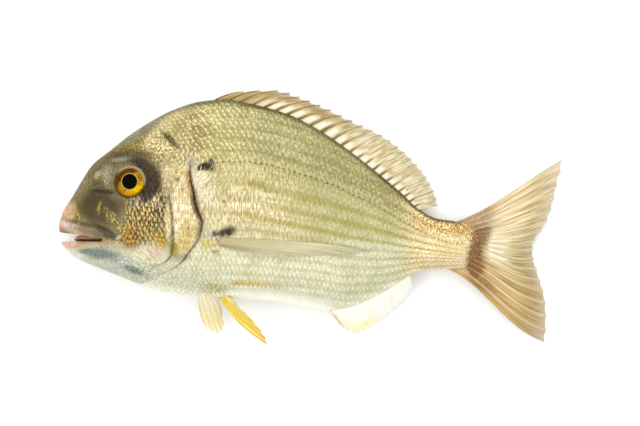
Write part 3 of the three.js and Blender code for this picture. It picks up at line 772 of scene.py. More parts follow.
def paint_grain(s, h):
    """How strong each grain is: threads of light across the rows, uneven flakes, and pale scale rims that
    are partly painted glints.
    """
    depth = depth_share(s, h)
    trunk = ramp(s - gill_edge(h), -2, 3)
    front = 1 - ramp(s, 115, 160)
    root = ramp(s, 198, 222)
    upper = ramp(h - lateral_line(s), 2, 10)
    belly = 1 - ramp(depth, 0.15, 0.36)
    pale_lane = ramp(-np.cos(2 * math.pi * lane_at(s, h)), -0.3, 0.8)
    cover = spot(s, h, (74, 4), (9, 30), 0, 0.2)
    throat = spot(s, h, (64, -35), (16, 9), -14, 0.4)
    temple = spot(s, h, (58, 20), (7, 18), 0, 0.5)
    cheek = spot(s, h, (54, 0), (13, 17), 0, 0.3)
    threads = np.maximum(0.7 * cover, np.maximum(0.85 * throat, 0.4 * temple))
    threads = np.maximum(np.maximum(threads, 0.7 * cheek), 0.16)
    threads = mix(threads, mix(0.5, 0.9, front) * mix(1, 0.6, belly), trunk)
    on_trunk = mix(0.35, 0.3, front) * mix(1, 0.5, belly) + 0.7 * root * ramp(depth, 0.4, 0.6)
    flakes = mix(0.6, on_trunk + 0.3 * ramp(depth, 0.5, 0.7), trunk)
    snout = spot(s, h, (23, 4), (18, 13), -12, 0.35)
    forehead = spot(s, h, (30, 29), (15, 9), 45, 0.5)
    jaw = (1 - ramp(h + 0.3 * s, -12, -5)) * (1 - ramp(s, 34, 46))
    smooth = np.maximum(np.maximum(snout, 0.8 * forehead), jaw)
    nape = nape_share(s, h)
    flakes = flakes * (1 - 0.3 * cheek) * (1 - 0.8 * smooth) * (1 - 0.5 * cover) * (1 - 0.2 * nape)
    flakes = np.maximum(flakes, 1.5 * gold_marks(s, h))
    rims = trunk * mix(0.2, 0.4, front) * mix(0.55, 1.25, pale_lane)
    rims = rims + trunk * upper * front * mix(0.5, 1.1, pale_lane)
    rims = rims + trunk * belly * 0.4 * pale_lane
    rims = np.maximum(rims, scaly_share(s, h) * 0.3)
    rims = np.maximum(rims, 1.1 * cheek) * (1 - 0.85 * belly_edge(s, h)) * mix(1, 1.2, nape)
    threads = threads * (1 - 0.7 * belly_edge(s, h)) * (1 - 0.35 * nape * trunk)
    rims = rims * (1 - bare_plate(s, h))
    return threads, flakes, rims


# Olive stripes: their lane, where they start and end, and how strong they are.
STRIPES = (
    (1, 112, 202, 0.7), (2, 126, 226, 0.95), (3, 96, 236, 1.0), (4, 108, 150, 0.5), (5, 182, 236, 0.7),
)


def paint_stripes(s, h):
    """How strong the olive stripes are."""
    lane = lane_at(s, h)
    stripes = np.zeros(len(s))
    for number, start, end, strength in STRIPES:
        along = ramp(s, start - 14, start + 26) * (1 - ramp(s, end - 18, end + 8))
        stripes = np.maximum(stripes, strength * along * (1 - ramp(np.abs(lane - number), 0.06, 0.27)))
    return stripes


def paint_blotch(s, h):
    """The dark blotch where the lateral line starts."""
    t = np.clip((s - 81.5) / 11, 0, 1)
    from_axis = np.abs(h - mix(28.6, 31.4, t))
    wedge = 1 - ramp(from_axis / mix(1.6, 5.6, t), 0.45, 1.1)
    return wedge * ramp(s, 80.5, 83) * (1 - ramp(s, 91.5, 94.5))


def paint_speckles(s, h):
    """Small dark dots under the jaw, on the lips and in front of the breast fin."""
    under = np.maximum(
        0.7 * spot(s, h, (32, -25), (24, 7), -20, 0.5), spot(s, h, (28, -24.5), (14, 2.4), -12, 0.6)
    )
    lips = 0.35 * spot(s, h, (14, -16), (14, 4), 0, 0.5)
    breast = 0.5 * spot(s, h, (78, -36), (14, 7), -6, 0.5)
    return np.maximum(np.maximum(under, lips), breast)


def nape_share(s, h):
    """How much of the nape's and shoulder's slanting grain a point has."""
    return spot(s, h, (88, 50), (34, 22), -20, 0.5)


def thread_places(s, h, row):
    """Where a point lies among the threads, in mm: across them, and along them. They lean in places."""
    throat = spot(s, h, (66, -36), (22, 13), -10, 0.5)
    across = s + 0.62 * (h - 48) * nape_share(s, h) - 1.1 * (h + 36) * throat
    return across, row * ROW_WIDTH


# ---- Materials ---------------------------------------------------------------------------------


class Wire:
    """A value in a material. Arithmetic on it adds the nodes that work it out."""

    def __init__(self, sheet, socket):
        self.sheet = sheet
        self.socket = socket

    def math(self, operation, *others):
        """A Math node's operation on this value and others."""
        return self.sheet.math(operation, self, *others)

    def __add__(self, other):
        return self.math("ADD", other)

    def __radd__(self, other):
        return self.sheet.math("ADD", other, self)

    def __sub__(self, other):
        return self.math("SUBTRACT", other)

    def __rsub__(self, other):
        return self.sheet.math("SUBTRACT", other, self)

    def __mul__(self, other):
        return self.math("MULTIPLY", other)

    def __rmul__(self, other):
        return self.sheet.math("MULTIPLY", other, self)

    def __truediv__(self, other):
        return self.math("DIVIDE", other)

    def __rtruediv__(self, other):
        return self.sheet.math("DIVIDE", other, self)

    def __lt__(self, other):
        return self.math("LESS_THAN", other)

    def __gt__(self, other):
        return self.math("GREATER_THAN", other)


class Sheet:
    """One material's nodes, ending in a Principled shader."""

    def __init__(self, name, **constants):
        self.material = bpy.data.materials.new(name)
        self.material.use_nodes = True
        self.tree = self.material.node_tree
        self.shader = self.tree.nodes["Principled BSDF"]
        for socket, value in constants.items():
            self.shader.inputs[socket.replace("_", " ")].default_value = value

    def node(self, kind, settings=None, sockets=None, out=0):
        """A node of any kind: its settings first, then its sockets' values or wires, then its output."""
        made = self.tree.nodes.new(kind)
        for key, value in (settings or {}).items():
            if key == "stops":
                ramp_of = made.color_ramp
                while len(ramp_of.elements) < len(value):
                    ramp_of.elements.new(0.5)
                for element, (place, tone) in zip(ramp_of.elements, value):
                    element.position = place
                    element.color = (*tone, 1)
            else:
                setattr(made, key, value)
        for key, value in (sockets or {}).items():
            if isinstance(value, Wire):
                self.tree.links.new(value.socket, made.inputs[key])
            else:
                target = made.inputs[key]
                wide = hasattr(target.default_value, "__len__") and len(target.default_value) == 4
                target.default_value = (*value, 1) if wide and len(value) == 3 else value
        if isinstance(out, tuple):
            return [Wire(self, made.outputs[i]) for i in out]
        return Wire(self, made.outputs[out])

    def math(self, operation, *values):
        return self.node("ShaderNodeMath", {"operation": operation}, dict(enumerate(values)))

    def blend(self, factor, a, b, mode="MIX"):
        """Colour a where the factor is 0 and b where it is 1."""
        settings = {"data_type": "RGBA", "blend_type": mode}
        return self.node("ShaderNodeMix", settings, {0: factor, 6: a, 7: b}, out=2)

    def rise(self, value, start, end):
        """0 up to start, 1 from end and smooth between."""
        sockets = {0: value, 1: start, 2: end, 3: 0.0, 4: 1.0}
        return self.node("ShaderNodeMapRange", {"interpolation_type": "SMOOTHSTEP"}, sockets)

    def number(self, name):
        """A number that keep() stored on the piece."""
        return self.node("ShaderNodeAttribute", {"attribute_name": name}, out=2)

    def tone(self, name):
        """A colour that keep() stored on the piece."""
        return self.node("ShaderNodeAttribute", {"attribute_name": name}, out=0)

    def place_on(self, name):
        """A point's two numbers on one of the piece's UV maps."""
        place = self.node("ShaderNodeUVMap", {"uv_map": name})
        return self.node("ShaderNodeSeparateXYZ", {}, {0: place}, out=(0, 1))

    def noise(self, size, detail=3.0, seed=0.0):
        """Uneven patches about size mm across, 0 to 1."""
        place = self.node("ShaderNodeTexCoord", out=3)
        placed = self.node("ShaderNodeMapping", {}, {0: place, 1: (seed, seed * 0.7, seed * 0.3)})
        sockets = {"Vector": placed, "Scale": 1 / (size * MM), "Detail": detail, "Roughness": 0.6}
        return self.node("ShaderNodeTexNoise", {}, sockets)

    def flat_noise(self, x, y, detail=2.0, roughness=0.5, scale=1.0):
        """Uneven patches over a flat map, 0 to 1, about as long as 1 in x and in y."""
        place = self.node("ShaderNodeCombineXYZ", {}, {0: x, 1: y, 2: 0.0})
        sockets = {"Vector": place, "Scale": scale, "Detail": detail, "Roughness": roughness}
        return self.node("ShaderNodeTexNoise", {"noise_dimensions": "2D"}, sockets)

    def give(self, **values):
        """Links values to the shader's sockets, and gives the finished material."""
        for socket, wire in values.items():
            self.tree.links.new(wire.socket, self.shader.inputs[socket.replace("_", " ")])
        return self.material

    def bump(self, height, distance, strength=1.0):
        """A relief of the given distance in mm from low to high."""
        sockets = {"Height": height, "Distance": distance * MM, "Strength": strength}
        return self.node("ShaderNodeBump", {}, sockets)


def skin_material(name):
    """Wet scaled skin: pale flecks on a deeper colour, laid out in the rows of its scales."""
    sheet = Sheet(name, Coat_Weight=0.06, Coat_Roughness=0.15, Specular_IOR_Level=0.22)
    along, row = sheet.place_on("rows")
    nearest = (row + 0.5).math("FLOOR")
    packs = []
    for k in (-1, 0, 1):
        across = row - nearest - k
        inside = 1 - (across / SCALE_REACH) * (across / SCALE_REACH)
        arch = inside.math("MAXIMUM", 0).math("SQRT") * SCALE_ARCH
        shift = (nearest + k).math("FLOORED_MODULO", 2) * 0.5
        centre = (along - arch - shift).math("CEIL") + shift
        outside = (across * across > SCALE_REACH**2) * 1e4
        packs.append(centre * 4 + (centre + arch - along) + outside)
    best = packs[0].math("MINIMUM", packs[1]).math("MINIMUM", packs[2])
    whole = (best / 2).math("FLOOR")
    edge = best - whole * 2
    own_row = nearest - (packs[0] < best + 0.001) + (packs[2] < best + 0.001)
    cell = sheet.node("ShaderNodeCombineXYZ", {}, {0: whole, 1: own_row, 2: 0.0})
    chance = sheet.node("ShaderNodeTexWhiteNoise", {"noise_dimensions": "3D"}, {0: cell})
    scaly = sheet.number("scaly")
    # Threads run across the rows, as the ridges of each scale catch the light.
    across, down = sheet.place_on("grain_map")

    def thread_noise(width, length, detail, seed):
        return sheet.flat_noise(across / width + seed, down / length, detail, 0.6)

    threads = thread_noise(0.8, 3.4, 2.0, 0.0)
    flakes = thread_noise(1.1, 1.5, 3.0, 80.0)
    long_streaks = thread_noise(22.0, 1.3, 1.0, 20.0)
    tint = thread_noise(2.2, 6.0, 3.0, 40.0)
    coarse = sheet.noise(9, detail=5, seed=4.0)
    patches = sheet.rise(coarse, 0.36, 0.62)
    off_axis = row - own_row
    nape = sheet.number("nape")
    uneven_edge = edge + (chance - 0.5) * 0.3 + (flakes - 0.5) * 0.4 + nape * off_axis * 0.5
    # A pale rim along each free edge, strongest in the middle of the scale and on its upper half: partly
    # the scales' own silver and partly painted glints.
    rim = sheet.rise(uneven_edge, 0.0, 0.14) * (1 - sheet.rise(uneven_edge + nape * 0.07, 0.22, 0.48))
    rim = rim * (0.3 + chance * 1.4)
    rim = rim * (1 - sheet.rise(off_axis.math("ABSOLUTE") + nape * 0.06, 0.26, 0.5 - nape * 0.02) * 0.9)
    rim = rim * (0.55 + patches * 0.7)
    rim = rim * (1 - sheet.rise(off_axis, 0.02, 0.26) * (0.85 - nape * 0.5))
    # Painted shade in the crease where the next scale's free edge covers this scale.
    crease_shade = sheet.rise(edge, 0.74, 1.0)
    level = 0.44 + sheet.number("rims") * (rim * 2.3 - crease_shade * 0.3 - 0.26)
    varied = sheet.number("threads")
    level = level + varied * ((threads - 0.5) * 3.2 + (long_streaks - 0.5) * 0.8)
    level = level + sheet.number("flakes") * (0.4 + patches * 1.2) * ((flakes - 0.5) * 3.4)
    level = level + (coarse - 0.5) * 0.9
    # The lateral line: a dark pore between pale tubes on every scale of its row.
    beat = along.math("PINGPONG", 0.5)
    on_line = sheet.number("line")
    off_line = (row + (flakes - 0.5) * 0.5).math("ABSOLUTE")
    pore = on_line * (1 - sheet.rise(off_line, 0.06, 0.26))
    pore = pore * (0.25 + (1 - sheet.rise(beat, 0.06, 0.22)) * 0.75)
    pore = pore * (0.45 + chance * 0.75)
    off_tube = (row + 0.35).math("ABSOLUTE")
    tube = on_line * (1 - sheet.rise(off_tube, 0.2, 0.45)) * sheet.rise(beat, 0.22, 0.34)
    level = level + tube * 0.55
    shown = sheet.blend(sheet.rise(level, -0.05, 1.05), sheet.tone("deep"), sheet.tone("light"))
    # Odd scales turn yellow or rosy, and olive blocks line up in stripes.
    yellow = sheet.rise(tint, 0.55, 0.7) * varied * 0.6
    shown = sheet.blend(yellow, shown, shows(255, 236, 150), "MULTIPLY")
    rosy = sheet.rise(1 - tint, 0.57, 0.72) * varied * 0.5
    shown = sheet.blend(rosy, shown, shows(255, 232, 226), "MULTIPLY")
    gaps = (along + 0.5).math("PINGPONG", 0.5)
    block = sheet.number("stripes") * (1 - sheet.rise(gaps, 0.28, 0.46) * 0.85)
    block = block * (0.1 + chance * 0.5 + threads * 0.5)
    shown = sheet.blend(block, shown, shows(176, 164, 76))
    # The blotch is inked in short slanting strokes.
    blotch = sheet.number("blotch")
    slashes = sheet.flat_noise((across - down * 0.5) / 0.6, (down + across * 0.4) / 3.0)
    ink = blotch * sheet.rise(slashes + (flakes - 0.5) * 0.6 + blotch * 0.18, 0.51, 0.62)
    shown = sheet.blend(ink, shown, shows(62, 57, 6))
    shown = sheet.blend(pore * 0.85, shown, shows(84, 70, 26))
    dots = sheet.rise(sheet.noise(0.9, detail=2, seed=9.0), 0.5, 0.62)
    shown = sheet.blend(sheet.number("speckles") * dots * 0.75, shown, shows(96, 100, 84))
    lift = sheet.rise(1 - edge, 0.0, 1.0) * scaly
    normal = sheet.bump(lift * 0.7 + threads * 0.2 + flakes * 0.3, 0.2, 0.45)
    roughness = 0.42 + (threads - 0.5) * 0.25
    return sheet.give(Base_Color=shown, Roughness=roughness, Normal=normal)


def eye_material(name):
    """Black pupil in a spoked gold iris: brown above, orange below, and pale round the pupil."""
    sheet = Sheet(name, Roughness=0.12, IOR=1.08, Coat_Weight=0.05, Coat_Roughness=0.03)
    x, y = sheet.place_on("round")
    out = (x * x + y * y).math("SQRT")
    turn = y.math("ARCTAN2", x)
    spokes = sheet.flat_noise(turn * 2.2, out * 1.6, scale=2.4)
    clouds = sheet.noise(3.5, detail=3)
    golds = [
        (0.25, shows(96, 60, 2)), (0.42, shows(154, 110, 4)), (0.58, shows(200, 154, 10)),
        (0.8, shows(232, 198, 56)),
    ]
    gold = sheet.node("ShaderNodeValToRGB", {"stops": golds}, {0: spokes * 0.6 + clouds * 0.45})
    brown = sheet.rise(y * 0.85 - x * 0.6 + (clouds - 0.5) * 0.5, 0.05, 0.5) * 0.85
    brown = brown + sheet.rise(out, 0.66, 0.86) * 0.5
    iris = sheet.blend(brown.math("MINIMUM", 0.9), gold, shows(80, 48, 8))
    glow = sheet.rise(x * 0.5 - y * 0.85, 0.3, 0.6) * (1 - sheet.rise(out, 0.76, 0.9))
    iris = sheet.blend(glow * (0.35 + spokes * 0.6), iris, shows(244, 210, 44))
    low = sheet.rise(0 - y * 0.95 - x * 0.25 + (clouds - 0.5) * 0.5, 0.42, 0.66)
    low = low * sheet.rise(out, 0.58, 0.7)
    iris = sheet.blend(low * 0.6, iris, shows(196, 112, 8))
    ring = sheet.rise(out, 0.47, 0.485) * (1 - sheet.rise(out, 0.505, 0.55))
    iris = sheet.blend(ring * 0.65, iris, shows(222, 190, 84))
    # The iris's outer edge: a painted highlight along its top and upper side, and painted shade along its
    # bottom.
    high = sheet.rise(y * 0.9 + x * 0.4, -0.1, 0.5)
    iris = sheet.blend(sheet.rise(out, 0.74, 0.94) * high * 0.9, iris, shows(176, 160, 124))
    iris = sheet.blend(sheet.rise(out, 0.8, 0.95) * (1 - high), iris, shows(96, 82, 40))
    shown = sheet.blend(sheet.rise(out, 0.46, 0.485), (0.0005, 0.0005, 0.0005), iris)
    return sheet.give(Base_Color=shown)


def thin(red, green, blue):
    """As shows, for a fin's thin web, which the light reaches less."""
    return shows(red, green, blue, FIN_LIGHT)


def fin_material(
    name, web, light, ray, root,
    root_end=0.06, root_soft=0.3, stained=False,
    panel_u=(-9, -8, 90, 91), panel_v=(-1, 0, 0.3, 0.5), long_to=None, panel_tone=(252, 242, 214),
    tints=(), sides=None, edge=None, edge_span=None, fray=0.3, see_through=0.3, faint_from=None,
    ray_fade=0.0, ray_strength=0.8, ray_width=0.2, ray_soft=None, fine=4,
):
    """Membrane between rays: pale panels near the root, partly painted highlight, a line along each ray,
    and a band at the root.

    u counts the rays across the fin, and v runs from 0 at its root to 1 at its edge. A pair of places is
    where something begins and where it is full. A four also says where it starts to end and has ended.
    """
    sheet = Sheet(name, Roughness=0.45, Coat_Weight=0.05, Coat_Roughness=0.15, Specular_IOR_Level=0.22)
    u, v = sheet.place_on("fan")
    near = u.math("PINGPONG", 0.5)
    grain = sheet.noise(1.6, detail=4)
    clouds = sheet.noise(6, detail=3, seed=2.0)

    def streaks(per_ray, along, seed):
        return sheet.flat_noise(u * per_ray + seed, v * along, detail=3.0)

    threads = streaks(fine, 2.4, 0.0)
    broad = streaks(fine * 0.3, 1.6, 30.0)
    on_ray = 1 - sheet.rise(near + (threads - 0.5) * 0.12, 0.04, ray_width)
    line = on_ray * (1 - sheet.rise(v, 0.15, 0.7) * ray_fade)
    wobble = v + (clouds - 0.5) * 0.28 + (grain - 0.5) * 0.1
    # Pale panels between the rays: partly the membrane's own pale colour and partly painted highlight.
    panel = sheet.rise(near, 0.1, 0.34) * sheet.rise(u, *panel_u[:2]) * (1 - sheet.rise(u, *panel_u[2:]))
    panel_place = wobble * (0.5 + sheet.rise(u, *long_to) * 0.5) if long_to else wobble
    panel = panel * sheet.rise(panel_place, *panel_v[:2]) * (1 - sheet.rise(panel_place, *panel_v[2:]))
    shown = sheet.blend(sheet.rise(threads * 0.7 + broad * 0.3, 0.38, 0.62), web, light)
    for start, end, tone in tints:
        shown = sheet.blend(sheet.rise(u, start, end), shown, tone, "MULTIPLY")
    shown = sheet.blend(panel * 0.9, shown, shows(*panel_tone, PANEL_LIGHT))
    if ray_soft:
        line = line * (1 - sheet.rise(u, *ray_soft) * sheet.rise(v, 0.16, 0.4) * 0.65)
    shown = sheet.blend(line * ray_strength, shown, ray)
    if sides:
        last, width, tone = sides
        at_side = 1 - sheet.rise(u.math("MINIMUM", last - u), 0.1, width)
        shown = sheet.blend(at_side * 0.8, shown, tone, "MULTIPLY")
    if edge:
        start, end, tone = edge
        on_edge = sheet.rise(wobble, start, end) * (1.3 - threads * 0.9)
        if edge_span:
            on_edge = on_edge * (1 - sheet.rise(u, *edge_span))
        shown = sheet.blend(on_edge, shown, tone, "MULTIPLY")
    if stained:
        uneven = sheet.number("stain") * (1 + (threads - 0.5) * 1.9 + (grain - 0.5) * 1.3)
        at_root = sheet.rise(uneven, 0.04, 0.95) * (0.9 - on_ray * 0.25)
    else:
        root_start, root_stop = root_end * (1 - 1.4 * root_soft), root_end * (1 + root_soft)
        at_root = (1 - sheet.rise(wobble, root_start, root_stop)) * 0.9
    shown = sheet.blend(at_root, shown, root)
    fringe = sheet.rise(v, 0.64, 1.0) * fray * (0.3 + (1 - threads) * 1.3)
    alpha = 1 - (1 - on_ray) * sheet.rise(v, 0.1, 0.6) * see_through - fringe
    if faint_from:
        alpha = alpha * (1 - sheet.rise(u, *faint_from))
    normal = sheet.bump(on_ray * 0.6 + threads * 0.5, 0.2, 0.5)
    return sheet.give(Base_Color=shown, Alpha=alpha, Normal=normal)


def mouth_lining(name):
    """Wet, mottled orange flesh, darker where it is shaded."""
    sheet = Sheet(name, Coat_Weight=0.2, Coat_Roughness=0.15)
    grain = sheet.noise(2)
    shown = sheet.blend(sheet.rise(grain, 0.35, 0.7), shows(240, 160, 106), shows(255, 206, 160))
    shown = sheet.blend(sheet.number("shade") * 0.9, shown, shows(96, 50, 10))
    return sheet.give(Base_Color=shown, Roughness=0.3 + grain * 0.2, Normal=sheet.bump(grain, 0.2, 0.5))


# ---- Head and trunk ----------------------------------------------------------------------------


def bowed(station, h):
    """The rings bow with the gill cover's edge, and straighten towards the snout and the trunk."""
    share = ramp(station, 30, 70) * (1 - ramp(station, 88, 125))
    return station + share * np.maximum(gill_edge(h) - GILL_EDGE_S, -20)


def ring_layout(tube, stations):
    """For each corner of a bare tube: its ring, station, side, turn, and whether it is on the edge."""
    spots = corners(tube)
    rings = len(stations) - 1
    ring = np.rint(spots[:, 2] * rings).astype(int)
    angle = np.arctan2(spots[:, 1], spots[:, 0])
    side = np.where(angle >= -1e-6, LEFT, RIGHT)
    share = np.abs(angle) / math.pi
    turn = np.empty(len(spots))
    for i, station in enumerate(stations):
        here = ring == i
        turns = turns_of(max(station, 0.6), 201)
        turn[here] = np.interp(share[here], np.linspace(0, 1, 201), turns)
    on_edge = (share < 1e-4) | (share > 1 - 1e-4)
    return ring, stations[ring], side, turn, on_edge


def on_section(station, turn):
    """The place (s, h) of a turn on a bowed ring."""
    on_back = np.cos(turn) > 0
    s = bowed(station, widest_line(station) + edge_reach(station, on_back) * np.cos(turn))
    return s, widest_line(s) + edge_reach(s, on_back) * np.cos(turn)


def lay_skin(tube, s, h, side, turn, on_edge, rise):
    """Puts a tube's corners on the skin, raised by its relief."""
    thick = half_thickness(s, turn) + towards_edge(rise, turn)
    z = np.where(on_edge, middle_z(s), middle_z(s) + side * thick)
    put_corners(tube, world(s, h, np.maximum(z, 0)))


def dress_skin(piece):
    """Stores what the skin's material reads, from the place of each corner."""
    s, h = on_fish(corners(piece))
    along, row = scale_places(s, h)
    coat = paint_skin(s, h)
    threads, flakes, rims = paint_grain(s, h)
    layers = {
        "deep": coat.deep, "light": coat.light, "scaly": scaly_share(s, h),
        "threads": threads, "flakes": flakes, "speckles": paint_speckles(s, h),
        "rims": rims, "nape": nape_share(s, h), "stripes": paint_stripes(s, h),
        "blotch": paint_blotch(s, h), "line": ramp(s, 88, 94) * (1 - ramp(s, 236, 246)),
    }
    for name, values in layers.items():
        keep(piece, name, values)
    keep_uv(piece, "rows", along, row)
    keep_uv(piece, "grain_map", *thread_places(s, h, row))


def make_trunk():
    """The trunk, from under the gill cover to the tail's root, with its scales in relief."""
    ends = [78.0, 79.2], np.linspace(244, BODY_END - 0.4, 12)
    stations = np.concatenate([ends[0], np.linspace(80, 243, 258), ends[1]])
    tube = bare_tube("trunk", AROUND_TRUNK, len(stations) - 1)
    ring, station, side, turn, on_edge = ring_layout(tube, stations)
    s, h = on_section(station, turn)
    # The first two rings are tucked in under the gill cover.
    sunk = np.where(ring == 0, -0.9, np.where(ring == 1, -0.4, 0)) * (0.3 + 0.7 * cover_share(h))
    lay_skin(tube, s, h, side, turn, on_edge, relief(s, h, trunk=True) + sunk + scale_lift(s, h))
    cap_end(tube, 50, 95)
    cap_end(tube, 240, 260)
    close_up(tube)
    dress_skin(tube)
    return tube


def make_head():
    """The head, from the snout to the gill cover's free edge, which its last two rings fold under."""
    snout = [0.02, 0.15, 0.35, 0.6, 0.9, 1.25, 1.65, 2.1, 2.6, 3.15]
    stations = np.concatenate([snout, np.linspace(3.8, GILL_EDGE_S, 150), [GILL_EDGE_S + 0.3, GILL_EDGE_S]])
    tube = bare_tube("head", AROUND_HEAD, len(stations) - 1)
    ring, station, side, turn, on_edge = ring_layout(tube, stations)
    s, h = on_section(station, turn)
    cover = cover_share(h)
    folds = ring == len(stations) - 2, ring == len(stations) - 1
    s = s + np.where(folds[0], mix(0.9, 0.1, cover), 0) + np.where(folds[1], mix(1.6, -0.9, cover), 0)
    sunk = np.where(folds[0], mix(-0.12, -0.5, cover), 0) + np.where(folds[1], mix(-0.35, -1.5, cover), 0)
    socket = -SOCKET_DEPTH * (1 - ramp(from_eye(s, h), EYE["radius"] - 2.2, EYE["radius"] - 0.4))
    front_nostril = 0.8 * spot(s, h, (21.5, 16), (0.9, 0.8), 0, 0.4)
    nostrils = -1.0 * spot(s, h, (27, 17.2), (2.1, 0.8), 17, 0.4) - front_nostril
    rise = relief(s, h) + sunk + socket + nostrils + scale_lift(s, h)
    # The folded rings keep the plate's full height, which the relief lets fall behind its edge.
    folded = folds[0] | folds[1]
    full = np.where(folded, GILL_PLATE * cover, 0)
    fallen = np.where(folded, (1 - ramp(s - gill_edge(h), -0.5, 0.7)) * GILL_PLATE * cover, 0)
    lay_skin(tube, s, h, side, turn, on_edge, rise + (full - fallen))
    cap_end(tube, -5, 5)
    cap_end(tube, 50, 95)
    close_up(tube)
    open_mouth(tube)
    dress_skin(tube)
    return tube


# The mouth opens between two flat cuts. These are their heights at the snout and at its corner.
PALATE = {"front": -9.4, "back": -13.2}
JAW_FLOOR = {"front": -13.7, "back": -13.6}
GAPE_END = 24.0
LINING_INSET = 1.2
LINING_DEPTH = 2.2


def open_mouth(head):
    """Cuts the gape out of the head, lines it, and rounds the lips off."""

    def above(cut, s, h):
        return h - mix(cut["front"], cut["back"], s / GAPE_END)

    def mid_places(items):
        spots = corners(head)
        return on_fish(np.array([spots[list(item.vertices)].mean(0) for item in items]))

    take_up(head)
    bpy.ops.object.mode_set(mode="EDIT")
    for cut in (PALATE, JAW_FLOOR):
        bpy.ops.object.mode_set(mode="OBJECT")
        s, _ = mid_places(head.data.polygons)
        bpy.ops.object.mode_set(mode="EDIT")
        select_where(head, "FACE", s < GAPE_END + 4)
        slope = (cut["back"] - cut["front"]) / GAPE_END
        point = world(0.0, cut["front"], 0.0)
        bpy.ops.mesh.bisect(plane_co=tuple(point), plane_no=(-slope, 1, 0), threshold=2e-5)
    bpy.ops.object.mode_set(mode="OBJECT")
    s, h = mid_places(head.data.polygons)
    bpy.ops.object.mode_set(mode="EDIT")
    select_where(head, "FACE", (above(PALATE, s, h) < 0) & (above(JAW_FLOOR, s, h) > 0))
    bpy.ops.mesh.delete(type="FACE")
    for cut, way in ((PALATE, 1), (JAW_FLOOR, -1)):
        bpy.ops.object.mode_set(mode="OBJECT")
        s, h = mid_places(head.data.edges)
        is_open = open_edges(head)
        bpy.ops.object.mode_set(mode="EDIT")
        select_where(head, "EDGE", is_open & (s < GAPE_END + 4) & (np.abs(above(cut, s, h)) < 0.05))
        bpy.ops.mesh.edge_face_add()
        bpy.ops.mesh.inset(thickness=LINING_INSET * MM)
        bpy.ops.transform.translate(value=(0.0006, way * LINING_DEPTH * MM, 0))
    # Smoothing rounds the lips off.
    bpy.ops.object.mode_set(mode="OBJECT")
    s, h = on_fish(corners(head))
    rim = np.minimum(np.abs(above(PALATE, s, h)), np.abs(above(JAW_FLOOR, s, h))) < 2.0
    bpy.ops.object.mode_set(mode="EDIT")
    select_where(head, "VERT", rim & (s < GAPE_END + 2))
    bpy.ops.mesh.vertices_smooth(factor=0.5, repeat=8)
    bpy.ops.object.mode_set(mode="OBJECT")


def make_tongue():
    """The tongue, on the floor of the mouth."""
    let_go()
    bpy.ops.mesh.primitive_uv_sphere_add(segments=48, ring_count=24, radius=1)
    tongue = named("tongue")
    x, y, z = corners(tongue).T
    s = 25.5 + 16.5 * x
    groove = 0.6 * np.exp(-((z / 0.3) ** 2)) * (y > 0)
    h = -12.8 + 3.6 * y * np.sqrt(np.clip(1 - 0.3 * x, 0.2, 2)) - groove
    put_corners(tongue, world(s, h, middle_z(s) + 6.2 * z))
    keep(tongue, "shade", ramp(-h, 12.2, 13.4) * ramp(s, 9, 13))
    close_up(tongue)
    return tongue


def make_eye(name, side):
    """An eyeball, flatter outside than inside, and tilted part of the way to the skin's slope."""
    let_go()
    bpy.ops.mesh.primitive_uv_sphere_add(segments=64, ring_count=40, radius=1)
    eye = named(name)
    spots = corners(eye)
    reach = np.where(spots[:, 2] > 0, EYE["bulge"], EYE["depth"])
    flat = spots[:, :2].copy()
    spots = spots * np.stack([np.full(len(spots), EYE["radius"])] * 2 + [reach], -1)
    at, near = (EYE["s"], EYE["h"]), 6.0
    slope_s = (skin_z(at[0] + near, at[1], LEFT) - skin_z(at[0] - near, at[1], LEFT)) / (2 * near)
    slope_h = (skin_z(at[0], at[1] + near, LEFT) - skin_z(at[0], at[1] - near, LEFT)) / (2 * near)
    a, b = -EYE["tilt"] * math.atan(slope_s), EYE["tilt"] * math.atan(slope_h)
    x, y, z = spots.T
    x, z = x * math.cos(a) + z * math.sin(a), z * math.cos(a) - x * math.sin(a)
    y, z = y * math.cos(b) - z * math.sin(b), z * math.cos(b) + y * math.sin(b)
    z = side * z + skin_z(EYE["s"], EYE["h"], side) + side * 0.2
    put_corners(eye, world(x + EYE["s"], y + EYE["h"], z))
    keep_uv(eye, "round", flat[:, 0], flat[:, 1])
    close_up(eye)
    return eye


# ---- Fins --------------------------------------------------------------------------------------
COLUMNS_PER_RAY = 8
WEB_THICKNESS = 0.3
RAY_STEPS = 10
FINEST_RAY = 0.06
SPINE_GIRTH = 1.3  # how much thicker a spine is than a soft ray
# Each branch's lean, in gaps between rays, and where it starts and ends.
WHOLE_RAY = ((0.0, 0.0, 1.0),)
BRANCHED_RAY = ((0.0, 0.0, 0.45), (0.13, 0.42, 0.97), (-0.13, 0.42, 0.97))
DORSAL_RAYS, DORSAL_SPINES = 24, 11
ANAL_RAYS, ANAL_SPINES = 14, 3


def between_rays(fin, u):
    """0 on each ray and 1 half-way to the next."""
    return np.sin(math.pi * np.mod(u * (fin["rays"] - 1), 1))


def fan_point(fin, u, v):
    """The place on a fin: u across its rays and v outwards along them."""
    start, end = fin["root"](u), fin["tip"](u)
    end = end + (start - end) * (fin["notch"](u) * between_rays(fin, u) ** 0.7)[..., None]
    run = end - start
    length = np.maximum(np.hypot(run[..., 0], run[..., 1]), 1e-6)
    across = np.stack([-run[..., 1], run[..., 0]], -1) / length[..., None]
    inner, outer = fin["bend"](u)
    aside = 6.75 * v * (1 - v) * (inner * (1 - v) + outer * v)
    return start + run * v[..., None] + across * aside[..., None]


def nearest_of(spots, places):
    """For each spot, the index of the nearest place."""
    tree = KDTree(len(places))
    for i, place in enumerate(places):
        tree.insert(place, i)
    tree.balance()
    return np.array([tree.find(spot_at)[1] for spot_at in spots])


